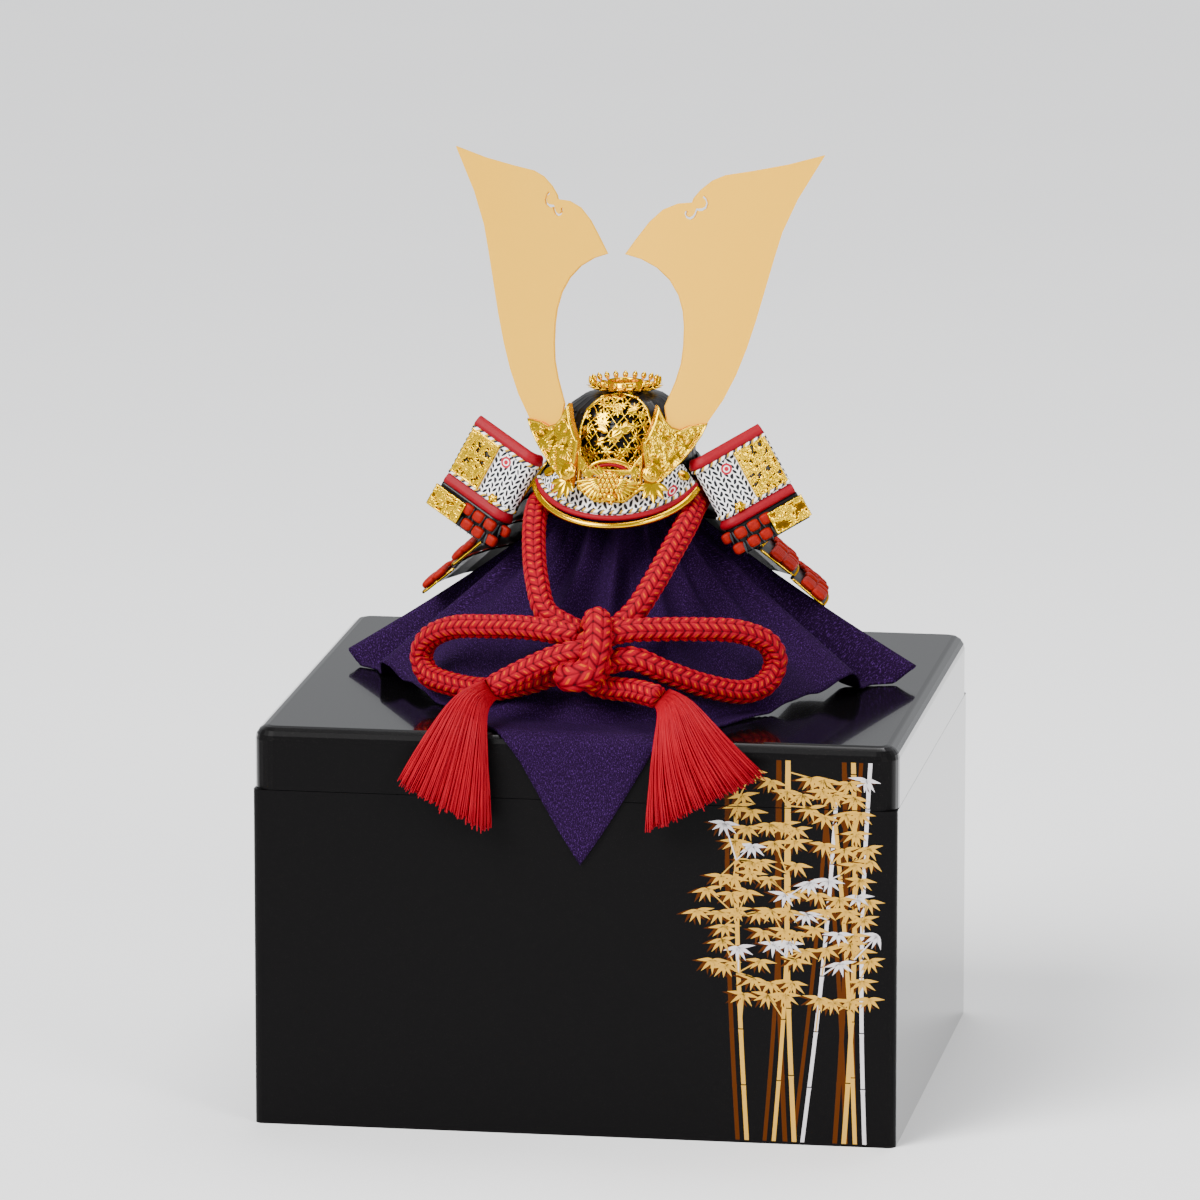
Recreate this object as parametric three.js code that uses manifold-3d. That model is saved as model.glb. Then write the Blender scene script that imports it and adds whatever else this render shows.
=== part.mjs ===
// Display samurai helmet on a cloth-draped stand and a lacquered storage box.
// Millimetres, +Z up, the front faces -Y. The origin is the middle of the box's underside.
import * as THREE from 'three';
import { mergeVertices } from 'three/addons/utils/BufferGeometryUtils.js';
import Module from 'manifold-3d';

const wasm = await Module();
wasm.setup();

// Box
const boxWidth = 340;
const boxDepth = 300;
const bodyHeight = 180;
const lidHeight = 33;
const boxWall = 9;
const boxCorner = 4;
const lidRounding = 7;
const rimWall = 4;
const rimHeight = 9;
const rimClearance = 0.6;

// Gap between pieces that touch
const seat = 0.3;
const degrees = Math.PI / 180;

// Stand
const standRise = 111.7;
const standFoot = 46;
const standFootHeight = 6;
const standShaft = 12;
const standHead = 27.5;
const headDrop = 31;
const headSlope = 9;
const headShare = 0.65;
const headChamfer = 1.5;

// Cloth
const clothWall = 1.6;
const clothSide = 370;
const clothForward = 49;
const clothSpread = 150;
const clothSkirtDrop = 12;
const clothSag = 0.12;

// Helmet bowl
const helmetX = 4;
const bowlHeight = 46;
const bowlRadius = 38;
const bowlWall = 1.6;
const bowlRibs = 15;
const ribDepth = 0.5;
const crownHole = 7.75;

// Crown ring
const crownRadius = 21;
const crownPlate = 1.2;
const crownPetals = 14;

// Front plate
const plateWidth = 41;
const plateHeight = 36;
const plateWall = 0.9;
const plateColumns = 8;
const plateRows = 7;

// Visor
const visorWall = 1.8;
const visorRise = 10;
const visorLipX = 44.5;
const visorLipY = 62;
const visorLipBack = 18;
const visorLipDrop = 13.3;
const visorLipRise = 19;
const visorSweep = 75;
const visorRootSweep = 60;
const visorRim = 2.8;
const scrollRadius = 3.4;
const scrollHeight = 1.8;

// Crest horns and their holder
const hornSweep = 36.5;
const hornLean = 12.5;
const hornWall = 1.4;
const hornX = 35.7;
const hornY = -30;
const hornRise = 40;
const hornHeight = 129;
const hornReach = 100;
const baseWall = 1.6;
const curlWidth = 1.5;
const leafWall = 1.4;
const rosetteRadius = 5;
const rosetteHeight = 3.2;
const archRadius = 9.5;
const archHeight = 7;
const archWire = 2.4;
const archRise = 11;
const archY = -47.2;

// Ear plates
const earX = 67.8;
const earY = -28.5;
const earRise = 5.8;
const earTilt = 27;
const earSweep = 23.7;
const earLean = 8.6;
const earWidth = 42;
const earHeight = 41.5;
const earWall = 1.8;
const earFold = 7;
const earGoldWidth = 19;
const earGoldHeight = 30;
const earGoldWall = 1;
const earBorder = 5.5;
const lowerEarHeight = 16;
const lowerGoldWidth = 21;
const lowerGoldHeight = 12;
const studRadius = 2.6;
const studHeight = 2.2;

// Neck guard
const neckSpread = 70;
const neckDrop = 67;
const neckReach = 27.5;
const lameWall = 1.2;
const lameGap = 0.6;
const lameTuck = 1.2;
const lacingWall = 1.4;
const lacingSwell = 1;
const lacingTufts = 20;

// Cord
const cordDiameter = 12.5;
const cordSides = 8;

const lidUnder = bodyHeight + seat;
const lidTop = lidUnder + lidHeight;
const clothLevel = lidTop + 2 * seat + clothWall;
const rimLevel = lidTop + standRise;
const bowlTop = rimLevel + bowlHeight;
const clothSkirtTop = rimLevel - clothSkirtDrop;

const group = new THREE.Group();
const helmet = new THREE.Group();
helmet.position.x = helmetX;
group.add(helmet);

const finishes = {
  lacquer: { color: 0x0b0b0d, roughness: 0.25, metalness: 0 },
  wood: { color: 0xc9ad84, roughness: 0.7, metalness: 0 },
  crepe: { color: 0x2e1a66, roughness: 0.9, metalness: 0 },
  brightGilt: { color: 0xf0c440, roughness: 0.25, metalness: 1 },
  paleGilt: { color: 0xf2d594, roughness: 0.4, metalness: 1 },
  leather: { color: 0xe6e2e0, roughness: 0.6, metalness: 0 },
  blackIron: { color: 0x101012, roughness: 0.35, metalness: 0.4 },
  redSilk: { color: 0xd81f22, roughness: 0.7, metalness: 0 },
};

function piece(name, geometry, finish, parent = group) {
  const mesh = new THREE.Mesh(geometry, new THREE.MeshStandardMaterial(finishes[finish]));
  mesh.name = name;
  parent.add(mesh);
  return mesh;
}

// A closed body from corner positions and triangles: shared corners merged, empty triangles dropped,
// faces turned outward.
function closedBody(source) {
  const bare = new THREE.BufferGeometry();
  bare.setAttribute('position', source.getAttribute('position').clone());
  if (source.index) bare.setIndex(source.index.clone());
  const merged = mergeVertices(bare, 1e-4);
  const corner = merged.getAttribute('position');
  const kept = [];
  let volume = 0;
  const a = new THREE.Vector3();
  const b = new THREE.Vector3();
  const c = new THREE.Vector3();
  for (let at = 0; at < merged.index.count; at += 3) {
    const [i, j, k] = [0, 1, 2].map((step) => merged.index.getX(at + step));
    if (i === j || j === k || k === i) continue;
    kept.push([i, j, k]);
    a.fromBufferAttribute(corner, i);
    b.fromBufferAttribute(corner, j);
    c.fromBufferAttribute(corner, k);
    volume += a.dot(b.cross(c));
  }
  merged.setIndex((volume < 0 ? kept.map(([i, j, k]) => [i, k, j]) : kept).flat());
  return merged;
}

function toSolid(geometry) {
  const closed = closedBody(geometry);
  return new wasm.Manifold(new wasm.Mesh({
    numProp: 3,
    vertProperties: new Float32Array(closed.getAttribute('position').array),
    triVerts: new Uint32Array(closed.index.array),
  }));
}

function fromSolid(solid) {
  const { vertProperties, triVerts } = solid.getMesh();
  const geometry = new THREE.BufferGeometry();
  geometry.setAttribute('position', new THREE.BufferAttribute(vertProperties, 3));
  geometry.setIndex(new THREE.BufferAttribute(triVerts, 1));
  return geometry;
}

const fused = (...parts) => fromSolid(parts.map(toSolid).reduce((sum, next) => sum.add(next)));
const trimmed = (body, ...cutters) => (
  fromSolid(cutters.map(toSolid).reduce((rest, cutter) => rest.subtract(cutter), toSolid(body)))
);
const mirrored = (geometry) => closedBody(geometry.clone().scale(-1, 1, 1));

// A wall of even thickness under a surface given by a function of two shares.
function wallUnder(columns, rows, pointAt, wall, ring = false) {
  const across = ring ? columns : columns + 1;
  const top = [];
  for (let row = 0; row <= rows; row += 1) {
    for (let column = 0; column < across; column += 1) top.push(pointAt(column / columns, row / rows));
  }
  const limit = (value, most) => Math.min(Math.max(value, 0), most);
  const at = (column, row) => {
    const place = ring ? (column + across) % across : limit(column, across - 1);
    return top[limit(row, rows) * across + place];
  };
  const under = [];
  for (let row = 0; row <= rows; row += 1) {
    for (let column = 0; column < across; column += 1) {
      const along = at(column + 1, row).clone().sub(at(column - 1, row));
      const down = at(column, row + 1).clone().sub(at(column, row - 1));
      const normal = along.cross(down).normalize();
      under.push(at(column, row).clone().addScaledVector(normal, -wall));
    }
  }
  const corners = [...top, ...under];
  const index = (column, row, layer) => layer * top.length + row * across + (ring ? column % across : column);
  const triangles = [];
  const quad = (a, b, c, d) => triangles.push(a, b, c, a, c, d);
  for (let row = 0; row < rows; row += 1) {
    for (let column = 0; column < columns; column += 1) {
      const cell = [[0, 0], [1, 0], [1, 1], [0, 1]].map(([x, y]) => [column + x, row + y]);
      const [a, b, c, d] = cell.map((place) => at(...place));
      if (b.distanceTo(d) < a.distanceTo(c)) cell.push(cell.shift());
      quad(...cell.map((place) => index(...place, 0)));
      const [first, second, third, fourth] = cell.map((place) => index(...place, 1));
      quad(first, fourth, third, second);
    }
  }
  for (let column = 0; column < columns; column += 1) {
    quad(index(column, 0, 1), index(column + 1, 0, 1), index(column + 1, 0, 0), index(column, 0, 0));
    quad(index(column, rows, 0), index(column + 1, rows, 0), index(column + 1, rows, 1), index(column, rows, 1));
  }
  for (let row = 0; row < rows && !ring; row += 1) {
    quad(index(0, row, 0), index(0, row + 1, 0), index(0, row + 1, 1), index(0, row, 1));
    quad(index(columns, row, 1), index(columns, row + 1, 1), index(columns, row + 1, 0), index(columns, row, 0));
  }
  const geometry = new THREE.BufferGeometry();
  geometry.setAttribute('position', new THREE.Float32BufferAttribute(corners.flatMap((p) => p.toArray()), 3));
  geometry.setIndex(triangles);
  return closedBody(geometry);
}

function roundedRectangle(width, depth, corner) {
  const shape = new THREE.Shape();
  const x = width / 2;
  const y = depth / 2;
  shape.moveTo(corner - x, -y);
  shape.lineTo(x - corner, -y);
  shape.absarc(x - corner, corner - y, corner, -Math.PI / 2, 0);
  shape.lineTo(x, y - corner);
  shape.absarc(x - corner, y - corner, corner, 0, Math.PI / 2);
  shape.lineTo(corner - x, y);
  shape.absarc(corner - x, y - corner, corner, Math.PI / 2, Math.PI);
  shape.lineTo(-x, corner - y);
  shape.absarc(corner - x, corner - y, corner, Math.PI, 1.5 * Math.PI);
  return shape;
}

const block = (width, depth, height, corner, level) => closedBody(
  new THREE.ExtrudeGeometry(roundedRectangle(width, depth, corner), {
    depth: height, bevelEnabled: false, curveSegments: 3,
  }).translate(0, 0, level),
);

// A flat plate standing upright, facing -Y, from an outline in its own X (right) and Y (up).
function plateOf(outline, wall, holes = []) {
  const shape = new THREE.Shape(outline);
  shape.holes = holes.map((hole) => new THREE.Path(hole));
  const plate = new THREE.ExtrudeGeometry(shape, { depth: wall, bevelEnabled: false });
  return closedBody(plate.translate(0, 0, -wall / 2).rotateX(Math.PI / 2));
}

const spots = (pairs) => pairs.map(([x, y]) => new THREE.Vector2(x, y));

// A smooth outline through hand-placed spots.
const smooth = (pairs, steps) => new THREE.SplineCurve(spots(pairs)).getPoints(steps);

function turned(profile, segments) {
  return closedBody(new THREE.LatheGeometry(spots(profile), segments).rotateX(Math.PI / 2));
}

function roundSection(diameter, sides) {
  const corners = [];
  for (let side = 0; side < sides; side += 1) {
    const turn = (side / sides) * 2 * Math.PI;
    corners.push(new THREE.Vector2(Math.cos(turn), Math.sin(turn)).multiplyScalar(diameter / 2));
  }
  return new THREE.Shape(corners);
}

function tube(route, diameter, steps, sides = cordSides) {
  const path = new THREE.CatmullRomCurve3(route.map((point) => new THREE.Vector3(...point)), false, 'centripetal');
  return closedBody(new THREE.ExtrudeGeometry(roundSection(diameter, sides), {
    steps, extrudePath: path, bevelEnabled: false,
  }));
}

const ellipsoid = (radii, place, across = 10, down = 8) => closedBody(
  new THREE.SphereGeometry(1, across, down).rotateX(Math.PI / 2).scale(...radii).translate(...place),
);

// Storage box: an open case whose inner rim stands up into the lift-off lid.
const rimWidth = boxWidth - 2 * (boxWall + rimClearance);
const rimDepth = boxDepth - 2 * (boxWall + rimClearance);
const hollowHeight = bodyHeight - boxWall;
const boxInner = [rimWidth - 2 * rimWall, rimDepth - 2 * rimWall];
piece('box_body', trimmed(
  fused(
    block(boxWidth, boxDepth, bodyHeight, boxCorner, 0),
    block(rimWidth, rimDepth, hollowHeight + rimHeight, boxCorner, boxWall),
  ),
  block(boxInner[0], boxInner[1], hollowHeight + 2 * rimHeight, boxCorner, boxWall),
), 'lacquer');

function lidBlank(growth) {
  const outline = roundedRectangle(boxWidth + 2 * growth, boxDepth + 2 * growth, boxCorner + lidRounding);
  const blank = new THREE.ExtrudeGeometry(outline, {
    depth: lidHeight,
    bevelThickness: lidRounding,
    bevelSize: lidRounding,
    bevelOffset: -lidRounding,
    bevelSegments: 4,
    curveSegments: 3,
  });
  return closedBody(blank.translate(0, 0, lidTop + growth - lidHeight - lidRounding));
}
piece('box_lid', trimmed(
  lidBlank(0),
  block(2 * boxWidth, 2 * boxDepth, lidHeight, boxCorner, lidUnder - lidHeight),
  block(boxWidth - 2 * boxWall, boxDepth - 2 * boxWall, lidHeight - boxWall, boxCorner, lidUnder),
), 'lacquer');

// Bowl: a hollow dome of ribs with a round hole at the crown. Each row is a level on its outside,
// with the radius as a share of the widest radius and the height as a share of the bowl's height.
const bowlRows = [
  { radius: 0.98, height: 0 },
  { radius: 1, height: 0.18 },
  { radius: 0.985, height: 0.4 },
  { radius: 0.915, height: 0.62 },
  { radius: 0.77, height: 0.82 },
  { radius: 0.56, height: 0.94 },
  { radius: crownHole / bowlRadius, height: 1 },
];
function bowlAt(height) {
  const above = bowlRows.findIndex((row) => row.height >= height);
  const next = bowlRows[Math.max(above, 1)];
  const last = bowlRows[Math.max(above, 1) - 1];
  const share = (height - last.height) / (next.height - last.height);
  return bowlRadius * (last.radius + (next.radius - last.radius) * share);
}
piece('helmet_bowl', wallUnder(2 * bowlRibs, bowlRows.length - 1, (turnShare, rowShare) => {
  const row = bowlRows[Math.round(rowShare * (bowlRows.length - 1))];
  const turn = turnShare * 2 * Math.PI;
  const rib = Math.round(turnShare * 2 * bowlRibs) % 2 ? ribDepth : 0;
  const radius = bowlRadius * row.radius - rib * row.radius;
  return new THREE.Vector3(radius * Math.sin(turn), -radius * Math.cos(turn), rimLevel + bowlHeight * row.height);
}, bowlWall, true), 'blackIron', helmet);

// Crown ring: two tiers of pointed petals under a raised round lip.
function petalRing(outer, inner, hole, count, wall, level) {
  const edge = [];
  for (let step = 0; step < 2 * count; step += 1) {
    const turn = (step / count) * Math.PI;
    const radius = step % 2 ? inner : outer;
    edge.push([radius * Math.sin(turn), radius * Math.cos(turn)]);
  }
  const shape = new THREE.Shape(spots(edge));
  shape.holes = [new THREE.Path(roundSection(2 * hole, count).getPoints())];
  const ring = new THREE.ExtrudeGeometry(shape, { depth: wall, bevelEnabled: false });
  return closedBody(ring.translate(0, 0, level));
}
const crownLevel = bowlTop + seat;
piece('crown_ring', fused(
  petalRing(crownRadius, 0.78 * crownRadius, crownHole, crownPetals, crownPlate, crownLevel),
  petalRing(0.83 * crownRadius, 0.62 * crownRadius, crownHole, crownPetals, 3 * crownPlate, crownLevel),
  turned([
    [crownHole, crownLevel],
    [crownHole + 3 * crownPlate, crownLevel],
    [crownHole + 2 * crownPlate, crownLevel + 4 * crownPlate],
    [crownHole, crownLevel + 4 * crownPlate],
    [crownHole, crownLevel],
  ], crownPetals),
), 'brightGilt', helmet);

// Front plate: an egg-shaped plate bent round the bowl, pierced between its bars.
const plateFoot = 0.24;
const plateOffset = 1.1;
function platePoint(across, up, lift) {
  const height = plateFoot + (up * plateHeight) / bowlHeight * 0.86;
  const egg = Math.sqrt(Math.max(1 - ((up - 0.42) / 0.6) ** 2, 0.02));
  const radius = bowlAt(Math.min(height, 0.985)) + plateOffset + lift;
  const turn = ((across - 0.5) * plateWidth * egg) / Math.max(radius, 0.6 * bowlRadius);
  const slope = Math.max(height - 0.8, 0);
  return new THREE.Vector3(
    radius * Math.sin(turn),
    -radius * Math.cos(turn),
    rimLevel + bowlHeight * height + (plateOffset + lift) * slope,
  );
}
function piercedPlate() {
  const corners = [];
  const triangles = [];
  const add = (across, up, layer) => (
    corners.push(platePoint(across / plateColumns, up / plateRows, layer * plateWall)) - 1
  );
  for (let row = 0; row < plateRows; row += 1) {
    for (let column = 0; column < plateColumns; column += 1) {
      const outerEdge = [[0, 0], [1, 0], [1, 1], [0, 1]];
      const isOpen = column > 0 && column < plateColumns - 1 && row > 0 && row < plateRows - 1;
      const lean = (row + column) % 2 ? 0.16 : -0.16;
      const innerEdge = [[0.5 - lean, 0.2], [0.8, 0.5 + lean], [0.5 + lean, 0.8], [0.2, 0.5 - lean]];
      for (const layer of [0, 1]) {
        const ids = outerEdge.map(([x, y]) => add(column + x, row + y, layer));
        const quad = (a, b, c, d) => triangles.push(...(layer ? [a, b, c, a, c, d] : [a, c, b, a, d, c]));
        if (!isOpen) {
          quad(...ids);
          continue;
        }
        const inner = innerEdge.map(([x, y]) => add(column + x, row + y, layer));
        for (let side = 0; side < 4; side += 1) {
          const next = (side + 1) % 4;
          quad(ids[side], ids[next], inner[next], inner[side]);
        }
      }
      if (isOpen) {
        for (let side = 0; side < 4; side += 1) {
          const [from, to] = [innerEdge[side], innerEdge[(side + 1) % 4]];
          const low = [add(column + from[0], row + from[1], 0), add(column + to[0], row + to[1], 0)];
          const high = [add(column + from[0], row + from[1], 1), add(column + to[0], row + to[1], 1)];
          triangles.push(low[0], high[0], high[1], low[0], high[1], low[1]);
        }
      }
    }
  }
  const rim = (from, to) => {
    const low = [add(...from, 0), add(...to, 0)];
    const high = [add(...from, 1), add(...to, 1)];
    triangles.push(low[0], high[1], low[1], low[0], high[0], high[1]);
  };
  for (let column = 0; column < plateColumns; column += 1) {
    rim([column + 1, 0], [column, 0]);
    rim([column, plateRows], [column + 1, plateRows]);
  }
  for (let row = 0; row < plateRows; row += 1) {
    rim([0, row], [0, row + 1]);
    rim([plateColumns, row + 1], [plateColumns, row]);
  }
  const geometry = new THREE.BufferGeometry();
  geometry.setAttribute('position', new THREE.Float32BufferAttribute(corners.flatMap((p) => p.toArray()), 3));
  geometry.setIndex(triangles);
  return closedBody(geometry);
}
piece('front_plate', piercedPlate(), 'brightGilt', helmet);

// Visor: a sloping peak from the bowl's front out to a lip that rises towards its ends.
const visorRootLevel = rimLevel + visorRise;
const visorRoot = bowlRadius + 0.7 * visorWall + seat;
function lipPoint(share) {
  const turn = (2 * share - 1) * visorSweep * degrees;
  return new THREE.Vector3(
    visorLipX * Math.sin(turn),
    -visorLipBack - (visorLipY - visorLipBack) * Math.cos(turn),
    rimLevel - visorLipDrop + visorLipRise * (1 - Math.cos(turn)),
  );
}
function visorPoint(share, outward) {
  const turn = (2 * share - 1) * visorRootSweep * degrees;
  const root = new THREE.Vector3(visorRoot * Math.sin(turn), -visorRoot * Math.cos(turn), visorRootLevel);
  return root.lerp(lipPoint(share), outward);
}
const visorBody = wallUnder(20, 3, (share, outward) => visorPoint(1 - share, outward), visorWall);
const rimRoute = (offset) => {
  const route = [];
  for (let step = 0; step <= 16; step += 1) {
    const lip = lipPoint(step / 16);
    const root = visorPoint(step / 16, 0);
    route.push(lip.addScaledVector(lip.clone().sub(root).normalize(), offset).toArray());
  }
  return route;
};
piece('visor', visorBody, 'leather', helmet);
piece('visor_rim', tube(rimRoute(visorRim / 2 + seat), visorRim, 24, 6), 'brightGilt', helmet);

const scroll = turned([
  [0, 0], [scrollRadius, 0], [0.88 * scrollRadius, 0.67 * scrollHeight], [0, scrollHeight], [0, 0],
], 10);
for (const side of [-1, 1]) {
  const fitting = piece(side < 0 ? 'visor_scroll_left' : 'visor_scroll_right', scroll, 'brightGilt', helmet);
  const share = side < 0 ? 0.055 : 0.945;
  const root = visorPoint(share, 0.42);
  const along = visorPoint(share + 0.02, 0.42).sub(visorPoint(share - 0.02, 0.42)).normalize();
  const outward = visorPoint(share, 0.6).sub(visorPoint(share, 0.3)).normalize();
  const normal = along.clone().cross(outward).normalize();
  if (normal.z < 0) normal.negate();
  fitting.quaternion.setFromUnitVectors(new THREE.Vector3(0, 0, 1), normal);
  fitting.position.copy(root).addScaledVector(normal, 2 * seat);
}

// Horns: thin plates swept back from the middle, with a curling slot near the upper edge.
const hornScale = (pairs) => pairs.map(([x, y]) => [x * hornReach, y * hornHeight]);
const hornEdges = [
  hornScale([[0.15, -0.04], [0.27, 0.06], [0.38, 0.19], [0.475, 0.33], [0.57, 0.49], [0.66, 0.64], [0.76, 0.78],
    [1, 1]]),
  hornScale([[1, 1], [0.68, 0.965], [0.42, 0.955], [0.3, 0.93], [0.205, 0.88], [0.18, 0.852]]),
  hornScale([[0.18, 0.852], [0.07, 0.85], [-0.04, 0.815], [-0.15, 0.74], [-0.247, 0.665]]),
  hornScale([[-0.247, 0.665], [-0.13, 0.63], [-0.03, 0.573], [0.036, 0.495], [0.06, 0.41], [0.055, 0.33],
    [0.03, 0.23], [-0.01, 0.15], [-0.105, 0.03]]),
];
const hornSteps = [9, 7, 5, 10];
const hornOutline = hornEdges.flatMap((edge, at) => smooth(edge, hornSteps[at]).slice(0, -1));
hornOutline.push(...spots(hornScale([[-0.105, 0.03], [-0.1, -0.11], [0.07, -0.11]])));
const curlLine = hornScale([[0.246, 0.873], [0.266, 0.853], [0.256, 0.827], [0.224, 0.818], [0.2, 0.822],
  [0.186, 0.8], [0.156, 0.787], [0.13, 0.8], [0.136, 0.819]]);
function slotAlong(line, width, steps) {
  const path = new THREE.SplineCurve(spots(line));
  const sideOf = (side) => Array.from({ length: steps + 1 }, (unused, step) => {
    const along = path.getTangent(step / steps);
    const normal = new THREE.Vector2(-along.y, along.x);
    return path.getPoint(step / steps).addScaledVector(normal, (side * width) / 2);
  });
  return [...sideOf(1), ...sideOf(-1).reverse()];
}
const hornPlate = plateOf(hornOutline, hornWall, [slotAlong(curlLine, curlWidth, 12)]);

function hornFrame(side) {
  const frame = new THREE.Group();
  frame.position.set(side * hornX, hornY, rimLevel + hornRise);
  frame.rotation.set(-hornLean * degrees, 0, side * hornSweep * degrees, 'ZYX');
  helmet.add(frame);
  return frame;
}
const leftHorn = hornFrame(-1);
const rightHorn = hornFrame(1);
piece('horn_right', hornPlate, 'paleGilt', rightHorn);
piece('horn_left', mirrored(hornPlate), 'paleGilt', leftHorn);

// Horn holder: two wings in front of the horns' feet, joined by a middle plate over the visor.
const wingOutline = spots([
  [-15.9, 5], [-19.5, -4], [-23.7, -10.5], [-27, -14], [-27, -39], [-20.6, -36.6], [-15.6, -33.4],
  [-10, -29.6], [-3.3, -24.6], [3, -19], [8.3, -13.4], [12.8, -6.9], [2, -7.4], [-4.2, -9.1], [-9.5, -7],
  [-12.5, -3.4],
]);
const middleX = 17.5;
const middleOutline = spots([
  [-middleX, -13.5], [-10, -18.5], [0, -21.5], [10, -18.5], [middleX, -13.5], [middleX, -39], [8, -46.2],
  [-8, -46.2], [-middleX, -39],
]);
const wingOffset = (hornWall + baseWall) / 2 + seat;
const turnedInto = (geometry, frame) => {
  frame.updateMatrix();
  return geometry.clone().applyMatrix4(frame.matrix);
};
const wing = plateOf(wingOutline, baseWall).translate(0, -wingOffset, 0);
const middleFrame = new THREE.Group();
const middleY = hornY - (hornX - middleX) * Math.tan(hornSweep * degrees) - wingOffset / 2;
middleFrame.position.set(0, middleY, rimLevel + hornRise);
middleFrame.rotation.x = -hornLean * degrees;
const middlePlate = plateOf(middleOutline, baseWall).translate(0, -wingOffset / 2, 0);
piece('horn_base', fused(
  turnedInto(wing, rightHorn),
  turnedInto(mirrored(wing), leftHorn),
  turnedInto(middlePlate, middleFrame),
), 'brightGilt', helmet);

// Ornaments on the holder: a spread-winged bird on a ledge, leaves, rosettes and a small arch.
helmet.add(middleFrame);
const wingFeather = smooth([[3, -5], [8, 0], [16, 5], [18, 8], [12, 9], [5, 6], [0, 3]], 12);
const birdWing = plateOf(wingFeather, 2);
const birdDepth = 3;
const bird = piece('sparrow_ornament', fused(
  ellipsoid([5.5, birdDepth, 6], [0, 0, 0], 8, 6),
  ellipsoid([3.2, 2.8, 3], [0, -1.5, 6.5], 8, 6),
  birdWing,
  mirrored(birdWing),
  new THREE.BoxGeometry(24, birdDepth, 3.5).translate(0, birdDepth / 2, -7),
), 'brightGilt', middleFrame);
bird.position.set(0, -wingOffset / 2 - baseWall / 2 - seat - birdDepth, -39);

const leafSpray = plateOf(smooth([
  [-6, 0], [-9, 4], [-3, 2.5], [-2, 7.5], [1.5, 3], [6.5, 5.5], [4, 0.5], [9.5, -3], [2, -2.5], [-1, -5], [-6, 0],
], 22).slice(0, -1), leafWall);
const rosette = turned([
  [0, 0],
  [rosetteRadius, 0],
  [0.92 * rosetteRadius, 0.5 * rosetteHeight],
  [0.44 * rosetteRadius, 0.44 * rosetteHeight],
  [0.28 * rosetteRadius, 0.94 * rosetteHeight],
  [0, rosetteHeight],
  [0, 0],
], 12);
for (const side of [-1, 1]) {
  const hand = side < 0 ? 'left' : 'right';
  const frame = side < 0 ? leftHorn : rightHorn;
  const leaves = piece(`bamboo_leaves_${hand}`, side < 0 ? mirrored(leafSpray) : leafSpray, 'brightGilt', frame);
  leaves.position.set(-side * 16, -wingOffset - baseWall / 2 - 4, -39);
  const knob = piece(`rosette_${hand}`, rosette, 'brightGilt', frame);
  knob.rotation.x = Math.PI / 2;
  knob.position.set(-side * 19, -wingOffset - baseWall / 2 - seat, -31);
}
const archRoute = Array.from({ length: 9 }, (unused, step) => {
  const turn = (step / 8) * Math.PI;
  return [archRadius * Math.cos(turn), archY, rimLevel + archRise + archHeight * Math.sin(turn)];
});
piece('front_arch', tube(archRoute, archWire, 12, 6), 'brightGilt', helmet);

// Ear plates: leather-faced ends of the top lame, folded forward and swept back, with a pierced gilt
// panel, a stud, and a second, lower fold that carries lacing and a small gilt plate.
function foldedStrip(top, bottom, depth, wall) {
  const corner = earWidth / 2 - earFold;
  return wallUnder(9, 1, (share, down) => {
    const level = top + (bottom - top) * down;
    if (share > 6 / 9) return new THREE.Vector3(-corner + (share * 9 - 6) / 3 * (earWidth - earFold), depth, level);
    const turn = (share * 9) / 6 * (Math.PI / 2);
    return new THREE.Vector3(-corner - earFold * Math.cos(turn), depth + earFold * (1 - Math.sin(turn)), level);
  }, -wall);
}
const earStrip = foldedStrip(earHeight / 2, -earHeight / 2, 0, earWall);
const lowerTop = -earHeight / 2 - seat;
const lowerStrip = foldedStrip(lowerTop, lowerTop - lowerEarHeight, 0.8, earWall);
const goldHoles = [];
const goldRows = 5;
const goldColumns = 3;
for (let row = 0; row < goldRows; row += 1) {
  for (let column = 0; column < goldColumns; column += 1) {
    const x = ((column + 0.5) / goldColumns - 0.5) * (earGoldWidth - 2);
    const y = ((row + 0.5) / goldRows - 0.5) * (earGoldHeight - 2);
    const lean = (row + column) % 2 ? 1 : -1;
    goldHoles.push(spots([[x - 1.8, y - lean], [x + lean, y - 1.9], [x + 1.8, y + lean], [x - lean, y + 1.9]]));
  }
}
const rectangle = (width, height) => spots([
  [-width / 2, -height / 2], [width / 2, -height / 2], [width / 2, height / 2], [-width / 2, height / 2],
]);
const earGold = plateOf(rectangle(earGoldWidth, earGoldHeight), earGoldWall, goldHoles);
const lowerGold = plateOf(rectangle(lowerGoldWidth, lowerGoldHeight), earGoldWall);
const stud = turned([
  [0, 0],
  [studRadius, 0],
  [0.85 * studRadius, 0.55 * studHeight],
  [0.38 * studRadius, 0.91 * studHeight],
  [0, studHeight],
  [0, 0],
], 10);
const earPlaneX = earWidth / 2 - 1;
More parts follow.
